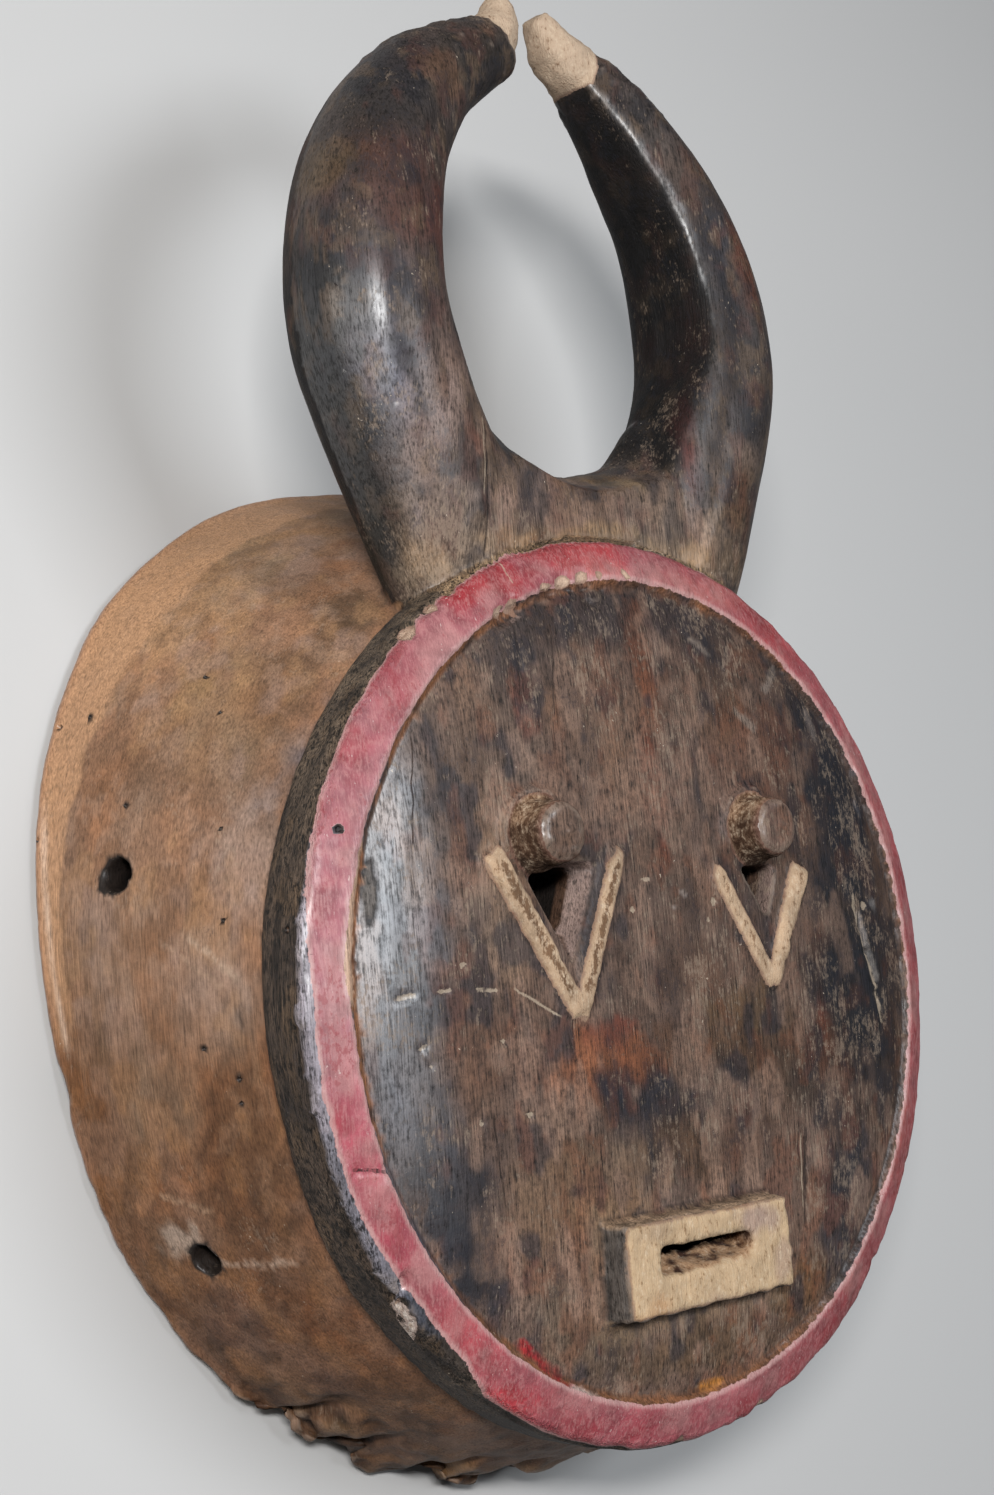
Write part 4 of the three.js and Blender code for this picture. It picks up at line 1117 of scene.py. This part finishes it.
def edge_sharpness(skin):
    """How sharply the skin turns at each point: above 0 on outer edges, below 0 in hollows."""
    points = skin.points
    ends = np.empty(len(skin.mesh.edges) * 2, np.int32)
    skin.mesh.edges.foreach_get("vertices", ends)
    a, b = ends.reshape(-1, 2).T
    count = np.maximum(np.bincount(ends, minlength=len(points)), 1)

    def around(at_a, at_b):
        return (np.bincount(a, at_b, len(points)) + np.bincount(b, at_a, len(points))) / count

    middle = np.stack([around(v[a], v[b]) for v in points.T], 1)
    length = np.linalg.norm(points[a] - points[b], axis=1)
    turn = np.sum((points - middle) * skin.normals, axis=1) / np.maximum(around(length, length), 1e-6)
    return np.clip(0.5 * turn + 0.5 * around(turn[a], turn[b]), -0.5, 0.5)


def by_part(skin, other, face, horn, side, shell, inside):
    """One number for each carved part, the peg ends having the face's."""
    kinds = [skin.inside, skin.pegs & (skin.above > 9), skin.horn, skin.face, skin.side, skin.shell]
    return np.select(kinds, [inside, face, horn, face, side, shell], other).astype(float)


def stain_and_wear(skin):
    """How thick the stain is, how much is rubbed away, and how strong flecks, streaks and pits are."""
    noise, x, y, z = skin.noise, skin.x, skin.y, skin.z
    outer_side = smooth_step(-66, -76, x) * smooth_step(175, 150, y) * (z < -8) * 0.3
    foot = skin.horn * np.maximum(smooth_step(150, 132, y), outer_side)
    patch = 0.5 * noise((16, 26, 16), 70) + 0.5 * noise((7, 12, 7), 71) + 0.4 * noise((3.6, 6, 3.6), 72)
    other = 0.5 * noise((12, 20, 12), 73) + 0.5 * noise((6, 9, 6), 74) + 0.4 * noise((3.4, 5, 3.4), 75)
    right = smooth_step(40, 85, x) * smooth_step(-60, -30, y)
    low_left = smooth_step(-55, -90, x) * smooth_step(-20, -60, y)
    dark = by_part(skin, 0.3, 0.45, 0.6, 0.5, 0.15, 0.2) + skin.face * 0.35 * (right + low_left)
    rub = by_part(skin, 0.3, 0.45, 0.4, 0.3, 0.3, 0.1) + skin.face * 0.15 * smooth_step(-40, 0, x)
    fleck = by_part(skin, 0.6, 1, 1, 1.6, 0.35, 0.6)
    slope = 0.12 + 0.42 * smooth_step(SLOT[1] - 1, SLOT[1] + 3, y)
    grit = 0.75 * arm_grooves(skin) + deep_in_slot(skin) * slope
    return foot, {
        "dark": dark - 0.6 * foot + 0.55 * patch,
        "rub": rub + 0.4 * foot - 0.25 * crust_and_shade_on_horn(skin) + 0.55 * other,
        "fleck": fleck * (1 - 0.5 * foot),
        "streak": by_part(skin, 0.5, 0.55, 0.55, 1.7, 0.2, 0.4),
        "grit": grit + 0.05 * (y > 280) + 0.4 * (skin.off_peg < 13),
    }


def polish(skin, edge, foot):
    """Where hands have polished the wood."""
    x, y, normals = skin.x, skin.y, skin.normals
    sharp = smooth_step(0.03, 0.1, edge)
    left_horn = 0.3 + 0.62 * smooth_step(216, 184, y)
    left_horn *= 0.25 + 0.75 * smooth_step(-0.42, -0.66, normals[:, 0])
    horns = np.where(x < 0, left_horn, 0.2 + 0.8 * sharp)
    for middle, _, _, _ in HORN_NICKS:
        horns *= 0.65 + 0.35 * smooth_step(1, 2.2, in_oval(skin.points, middle, (1.4, 1.4)))
    left_face = skin.face * smooth_step(-82, -98, x) * smooth_step(-95, -50, y)
    left_face = left_face * (in_oval(skin.points, *SLIP) > 1.2)
    gloss = by_part(skin, 0.3, 0.1, 0, 0.08, 0.14, 0) + 0.25 * worn_strip(skin) + skin.horn * horns
    gloss += 0.95 * left_face + 0.8 * worn_lip(skin) + 0.5 * skin.pegs * sharp
    upper_left = skin.horn & (x < 0) & (normals[:, 2] > -0.2)
    turned_away = smooth_step(-0.6, -0.85, normals[:, 0]) * (skin.horn & ~upper_left)
    return np.clip(gloss * (1 - 0.6 * foot) * (1 - 0.95 * turned_away), 0, 1)


def nick_cuts(skin, where):
    """How deep a point lies inside the pale cut of a nick."""
    cut = np.full(len(skin.points), -3.0)
    for middle, (length, width), tilt, _ in NICKS:
        reach = max(length - width, 0.05)
        dx, dy = reach * math.cos(math.radians(tilt)), reach * math.sin(math.radians(tilt))
        off, _ = to_line(skin.points, (middle[0] - dx, middle[1] - dy), (middle[0] + dx, middle[1] + dy))
        cut = np.maximum(cut, np.where(where, 0.7 * width - off, -3))
    return cut


def fine_lines(skin, lines, where):
    """The distance across the nearest line, signed by side and thinned by its width, and how near it is."""
    nearest = np.full(len(skin.points), 99.0)
    across = np.full(len(skin.points), 9.0)
    moved = wander(skin.points, 5, 0.5, 80)
    for start, end, half_width in lines:
        off, _ = to_line(moved, start, end)
        run = np.array(end, float) - np.array(start, float)
        side = ((moved[:, 0] - start[0]) * run[1] - (moved[:, 1] - start[1]) * run[0]) / np.linalg.norm(run)
        closer = where & (off < nearest)
        nearest = np.where(closer, off, nearest)
        across = np.where(closer, side / half_width, across)
    return np.clip(across, -9, 9), 2 - np.clip(nearest, 0, 9)


# Fine lines on the front: from, to, half width; splits and knife grooves, and pale scratches
SPLITS = [
    ((-44.5, 168.5), (-46.8, 152), 0.4), ((-46.8, 152), (-47.4, 143), 0.55),
    ((-47.4, 143), (-49, 128), 0.45), ((54, -50), (52.6, -66), 0.8), ((52.6, -66), (50.6, -79), 0.5),
    ((50.6, -48), (49.6, -60), 0.3), ((-72.9, -33), (-71.2, -56), 0.4), ((-46, 104), (-48, 86), 0.25),
    ((-33, 102), (-36, 80), 0.3), ((70, 78), (68, 58), 0.35), ((-88, 72), (-92, 44), 0.3),
    ((84, -38), (81, -62), 0.4), ((-117.5, -41.3), (-109.8, -42.5), 0.5), ((94, 30), (91, 8), 0.3),
]
SCRATCHES = [
    ((-60.6, 1.4), (-46.5, -6.5), 0.55), ((-46.2, 127), (-44.6, 119.5), 0.3), ((90.2, 21), (90.8, 14), 1),
    ((90.8, 12), (95.4, -1), 0.9), ((95.4, -1), (97.4, -8), 1.3), ((97.8, -11), (99.4, -19), 1),
    ((51.4, -52), (50, -72), 0.4), ((-46.2, 168), (-49, 146), 0.35),
]


def paint_skin(mesh):
    """Keeps colours and finish on the skin's points, for the material to read."""
    skin = Skin(mesh)
    fine = skin.noise((4.2, 7, 4.2), 56) + 0.6 * skin.noise((2.6, 4.4, 2.6), 57)
    stain = strew_dabs(skin, stain_all(skin, fine), fine)
    stain_face(skin, stain)
    stain_horns(skin, stain)
    stain = stain_groove(skin, stain)
    stain = stain_shell(skin, stain, fine)
    stain = draw_lines(skin, stain, fine)
    stain = stain_cuts(skin, stain, fine)
    stain, near_hole = stain_holes(skin, stain, fine)
    stain_band_edges(skin, stain)
    paint, paint_tint = paint_band(skin)
    raw, raw_tint = bare_parts(skin, fine)
    foot, numbers = stain_and_wear(skin)
    edge = edge_sharpness(skin) * (near_hole > 2.5)
    front = (skin.normals[:, 2] > -0.1) & (skin.z > -16)
    # Paint and bare wood are kept off the holes, so that their painted shade shows
    numbers["paint"] = np.where(near_hole < 1.3, -9, paint)
    numbers["raw"] = np.clip(np.where(near_hole < 1.3, -9, raw), -9, 9)
    numbers["from_edge"] = np.clip(skin.inset, -3, 22)
    numbers["edge"] = edge
    numbers["polish"] = polish(skin, edge, foot)
    numbers["cut"] = nick_cuts(skin, front)
    numbers["split"], numbers["split_near"] = fine_lines(skin, SPLITS, front)
    numbers["scratch"], numbers["scratch_near"] = fine_lines(skin, SCRATCHES, front)
    for name, values in numbers.items():
        layer = mesh.attributes.new(name, "FLOAT", "POINT")
        layer.data.foreach_set("value", values.astype(np.float32))
    for name, colours in (("tint", stain), ("paint_tint", paint_tint), ("raw_tint", raw_tint)):
        layer = mesh.attributes.new(name, "FLOAT_COLOR", "POINT")
        opaque = np.hstack([colours, np.ones((len(colours), 1))])
        layer.data.foreach_set("color", opaque.astype(np.float32).ravel())


class Finish:
    """A material built node by node; every pattern reads the object's own coordinates."""

    def __init__(self, name):
        self.material = bpy.data.materials.new(name)
        self.material.use_nodes = True
        self.tree = self.material.node_tree
        self.shader = self.tree.nodes["Principled BSDF"]
        coordinates = self.tree.nodes.new("ShaderNodeTexCoord")
        away = LIE_ON_RIM.inverted()
        self.place = self.node("ShaderNodeMapping", {
            "Vector": coordinates.outputs["Object"], "Location": away.translation * 1000,
            "Rotation": away.to_euler(), "Scale": (1000, 1000, 1000)})
        self.grain = self.noise((0.55, 9, 0.55), 2, 0.6)
        self.mottle = self.noise((1.6, 2.4, 1.6), 3, 0.7)
        self.g = self.math("SUBTRACT", self.grain, 0.5)
        self.m = self.math("SUBTRACT", self.mottle, 0.5)

    def feed(self, socket, value):
        """Links a pattern to a socket, or sets the socket to a constant."""
        if isinstance(value, bpy.types.NodeSocket):
            self.tree.links.new(value, socket)
        else:
            socket.default_value = value

    def node(self, kind, inputs=(), output=0, **settings):
        made = self.tree.nodes.new(kind)
        for key, value in settings.items():
            setattr(made, key, value)
        for key, value in dict(inputs).items():
            self.feed(made.inputs[key], value)
        return made.outputs[output]

    def layer(self, name, output="Fac"):
        """What paint_skin kept on the points under this name."""
        return self.node("ShaderNodeAttribute", output=output, attribute_name=name)

    def noise(self, size, detail, rough):
        """Noise with features of the given size in millimetres each way."""
        scaled = self.node(
            "ShaderNodeVectorMath", {0: self.place, 1: tuple(1 / s for s in size)}, operation="MULTIPLY")
        settings = {"Vector": scaled, "Scale": 1.0, "Detail": detail, "Roughness": rough, "Distortion": 0.0}
        return self.node("ShaderNodeTexNoise", settings)

    def math(self, operation, a, b=0.0):
        return self.node("ShaderNodeMath", {0: a, 1: b}, operation=operation)

    def times(self, a, b):
        return self.math("MULTIPLY", a, b)

    def sum(self, *terms):
        """The sum of patterns, each times its share."""
        total = None
        for value, share in terms:
            part = value if share == 1 else self.times(value, share)
            total = part if total is None else self.math("ADD", total, part)
        return total

    def ramp(self, value, low, high, to_low=0.0, to_high=1.0):
        ends = {"Value": value, "From Min": low, "From Max": high, "To Min": to_low, "To Max": to_high}
        return self.node("ShaderNodeMapRange", ends, interpolation_type="SMOOTHSTEP")

    def where(self, low, high, most, *terms):
        """A share that rises to its most as the sum of the patterns goes from low to high."""
        return self.ramp(self.sum(*terms), low, high, 0, most)

    def mix(self, share, a, b, kind="MIX"):
        """Two colours mixed; a colour given as three numbers gets its fourth here."""
        made = self.tree.nodes.new("ShaderNodeMix")
        made.data_type = "RGBA"
        made.blend_type = kind
        for index, value in ((0, share), (6, a), (7, b)):
            self.feed(made.inputs[index], (*value, 1) if isinstance(value, (tuple, np.ndarray)) else value)
        return made.outputs[2]

    def toned(self, a, b):
        """One colour times another."""
        return self.mix(1.0, a, b, "MULTIPLY")

    def blend(self, share, a, b):
        """Two numbers mixed."""
        return self.node("ShaderNodeMix", {0: share, 2: a, 3: b})


def stained_wood(f):
    """The broad tint, varied along the grain, black where the stain is thick and pale where it is rubbed."""
    g, m, tint, rub, edge = f.g, f.m, f.layer("tint", "Color"), f.layer("rub"), f.layer("edge")
    streaks, flecks = f.times(g, f.layer("streak")), f.times(m, f.layer("fleck"))
    light = f.math("MAXIMUM", f.sum((streaks, 2.6), (flecks, 2.8), (g, 1), (1.0, 1)), 0.15)
    wood = f.toned(tint, f.node("ShaderNodeCombineColor", {0: light, 1: light, 2: light}))
    stain = f.where(0.31, 0.56, 0.85, (m, 1.1), (g, 0.5), (f.layer("dark"), 0.5))
    wood = f.mix(stain, wood, f.mix(0.8, wood, seen(26, 27, 34)))
    worn = f.where(0.32, 0.62, 0.65, (m, -1.1), (g, 0.6), (rub, 0.5))
    wood = f.mix(worn, wood, f.mix(0.5, tint, seen(196, 172, 150)))
    wood = f.mix(f.where(0.25, 0.29, 0.8, (m, 1), (rub, 0.08)), wood, seen(212, 194, 172))
    wood = f.mix(f.where(0.07, 0.22, 0.6, (edge, 1), (m, 0.15)), wood, f.mix(0.5, tint, seen(190, 168, 150)))
    hollows = f.where(0.05, 0.2, 0.75, (edge, -1), (m, 0.12))
    return f.mix(hollows, wood, f.toned(wood, (0.32, 0.28, 0.26))), worn, hollows


def band_paint(f):
    """Red along the middle of the band, rubbed pale at its edges and along the grain; and where it covers."""
    g, m = f.g, f.m
    streaks = f.where(-0.15, 0.3, 0.5, (g, 1), (m, 1.3))
    red = f.mix(streaks, f.layer("paint_tint", "Color"), seen(206, 146, 144))
    red = f.mix(f.where(0.2, 0.34, 0.6, (m, 1), (f.layer("dark"), 0.4)), red, seen(148, 44, 56))
    paint_edge = f.sum((f.layer("paint"), 1), (m, 1.6))
    from_edge = f.sum((f.layer("from_edge"), 1), (m, 1.6))
    borders = f.math("MAXIMUM", f.ramp(paint_edge, 1.8, 0.2, 0, 0.68), f.ramp(from_edge, 11.6, 13.2, 0, 0.55))
    red = f.mix(f.times(borders, f.ramp(g, -0.25, 0.05, 0.5, 1)), red, seen(214, 176, 170))
    red = f.mix(f.where(0.24, 0.3, 0.7, (m, -1), (g, 0.5), (f.layer("rub"), 0.12)), red, seen(228, 200, 194))
    return red, f.ramp(paint_edge, -0.1, 0.12)


def raw_wood(f, hollows):
    """Bare wood with dark pores, pale grain and a brown border; and where it shows."""
    g, m, tint = f.g, f.m, f.layer("raw_tint", "Color")
    pores = f.where(0.16, 0.46, 0.9, (m, 1.6), (g, 0.4), (f.layer("grit"), 0.7))
    wood = f.mix(pores, tint, f.toned(tint, (0.3, 0.22, 0.17)))
    wood = f.mix(f.where(0.0, 0.3, 0.6, (m, -1), (g, 0.4)), wood, seen(236, 214, 186))
    wood = f.mix(f.where(0.0, 0.3, 0.5, (m, 1), (g, 0.4)), wood, f.toned(tint, (0.6, 0.5, 0.42)))
    wood = f.mix(hollows, wood, f.toned(wood, (0.4, 0.3, 0.22)))
    raw = f.sum((f.layer("raw"), 1), (m, 1.3))
    wood = f.mix(f.where(1.1, 0.2, 0.6, (raw, 1), (m, 1.2)), wood, seen(126, 90, 78))
    return wood, f.ramp(raw, -0.08, 0.12)


def near_line(f, name, depth, low, high):
    """A share along the fine lines of this name, as wide as the pattern's depth makes them there."""
    inside = f.math("SUBTRACT", depth, f.math("ABSOLUTE", f.layer(name)))
    return f.times(f.ramp(inside, low, high), f.ramp(f.layer(name + "_near"), 0.2, 1.4))


def fine_marks(f, colour):
    """Pale nicks and scratches, and dark splits; and where the splits are."""
    g, m = f.g, f.m
    cut = f.where(-0.1, 0.2, 1, (f.layer("cut"), 1), (m, 1.4))
    scratch = near_line(f, "scratch", f.sum((m, 2.2), (g, 1.5)), -1.0, -0.3)
    pale = f.times(f.math("MAXIMUM", cut, scratch), f.ramp(m, -0.2, 0, 0.9, 0.55))
    colour = f.mix(pale, colour, seen(202, 182, 158))
    split = near_line(f, "split", f.times(m, 1.8), -1.1, -0.5)
    return f.mix(f.times(split, f.ramp(g, -0.1, 0.1, 0.3, 0.85)), colour, seen(30, 24, 22)), split


def worn_carved_wood():
    f = Finish("worn_carved_wood")
    g, m, polish = f.g, f.m, f.layer("polish")
    wood, worn, hollows = stained_wood(f)
    red, painted = band_paint(f)
    pale_wood, bare = raw_wood(f, hollows)
    colour, split = fine_marks(f, f.mix(bare, f.mix(painted, wood, red), pale_wood))
    f.feed(f.shader.inputs["Base Color"], colour)
    rough = f.sum((f.blend(polish, 0.75, 0.5), 1), (m, 0.4), (worn, 0.15), (bare, 0.2))
    f.feed(f.shader.inputs["Roughness"], rough)
    f.shader.inputs["Specular IOR Level"].default_value = 0.2
    waxed = f.times(polish, f.ramp(f.sum((m, 1), (g, 1.2), (worn, -0.3)), -0.3, 0.15, 0.25, 1))
    waxed = f.times(waxed, f.math("SUBTRACT", 1.0, f.math("MAXIMUM", bare, split)))
    f.feed(f.shader.inputs["Coat Weight"], waxed)
    f.shader.inputs["Coat Roughness"].default_value = 0.33
    f.shader.inputs["Coat IOR"].default_value = 1.6
    height = f.sum((f.times(f.grain, f.math("ADD", f.layer("streak"), 0.2)), 1.3), (f.mottle, 0.8))
    bump = f.node("ShaderNodeBump", {"Height": height, "Strength": 1.0, "Distance": 0.0004})
    f.feed(f.shader.inputs["Normal"], bump)
    return f.material


mask = rough_block()
even_skin(mask)
carve_skin(mask.data)
thin_out(mask)
join_or_cut(mask, small_bores(), "DIFFERENCE")
paint_skin(mask.data)
mask.name = mask.data.name = "carved_mask"
mask.data.transform(FACE_TO_ROW)
mask.data.shade_smooth()
mask.data.materials.clear()
mask.data.materials.append(worn_carved_wood())
mask.data.polygons.foreach_set("material_index", [0] * len(mask.data.polygons))
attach(mask, "root")
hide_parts("goli_mask")

# The camera that took the photo, fitted to it: how it was turned and shifted, its scale and its focal length
CAMERA_TURN = (2.81496317, -0.0699919614, 1.07106865)
CAMERA_SHIFT = (51.1656, 78.2561, 735.005)
CAMERA_UNIT = 0.8966
CAMERA_SENSOR, CAMERA_REACH = 36, 2200 / 1495


def camera():
    turn = Vector(CAMERA_TURN)
    to_view = Quaternion(turn.normalized(), turn.length).to_matrix()
    place = to_view.transposed() @ Vector(CAMERA_SHIFT) * -CAMERA_UNIT
    flip = Matrix(((1, 0, 0), (0, -1, 0), (0, 0, -1)))
    held = to_view.transposed() @ flip
    lens = bpy.data.cameras.new("camera")
    lens.sensor_width = CAMERA_SENSOR
    lens.lens = CAMERA_SENSOR * CAMERA_REACH
    lens.clip_start, lens.clip_end = 0.01, 20
    view = bpy.data.objects.new("camera", lens)
    view.matrix_world = LIE_ON_RIM @ Matrix.Translation(place / 1000) @ held.to_4x4()
    bpy.context.scene.collection.objects.link(view)
    bpy.context.scene.camera = view


def floor():
    bm = bmesh.new()
    bmesh.ops.create_grid(bm, x_segments=2, y_segments=2, size=3)
    bmesh.ops.translate(bm, verts=bm.verts, vec=(0, 0, -0.0005))
    ground = as_object("floor", bm)
    pale = bpy.data.materials.new("pale_floor")
    pale.use_nodes = True
    shader = pale.node_tree.nodes["Principled BSDF"]
    shader.inputs["Base Color"].default_value = (0.36, 0.355, 0.35, 1)
    shader.inputs["Roughness"].default_value = 0.9
    ground.data.materials.append(pale)


def soft_light(name, direction, distance, size, power, colour=(1, 1, 1)):
    """A soft box that stands in the given direction from the face and points at it."""
    box = bpy.data.lights.new(name, "AREA")
    box.shape = "RECTANGLE"
    box.size, box.size_y = size
    box.energy = power
    box.color = colour
    lamp = bpy.data.objects.new(name, box)
    place = LIE_ON_RIM @ (Vector(direction).normalized() * distance + Vector((0, 0.05, 0)))
    lamp.location = place
    aim = LIE_ON_RIM @ Vector((0, 0.05, -0.02)) - place
    lamp.rotation_mode = "QUATERNION"
    lamp.rotation_quaternion = aim.to_track_quat("-Z", "Y")
    bpy.context.scene.collection.objects.link(lamp)


def studio():
    soft_light("front_box", (0.16, 0.14, 0.97), 1.3, (0.4, 0.7), 15, (0.9, 0.95, 1))
    soft_light("camera_side_box", (-0.64, 0.2, 0.76), 1.3, (0.12, 0.36), 22)
    soft_light("low_side_box", (-0.95, 0.28, 0.2), 1.1, (0.24, 0.5), 3.5, (1, 0.95, 0.88))
    world = bpy.data.worlds.new("studio")
    world.use_nodes = True
    world.node_tree.nodes["Background"].inputs["Color"].default_value = (0.93, 0.95, 1, 1)
    world.node_tree.nodes["Background"].inputs["Strength"].default_value = 0.07
    bpy.context.scene.world = world
    bpy.context.scene.view_settings.view_transform = "Standard"


camera()
floor()
studio()
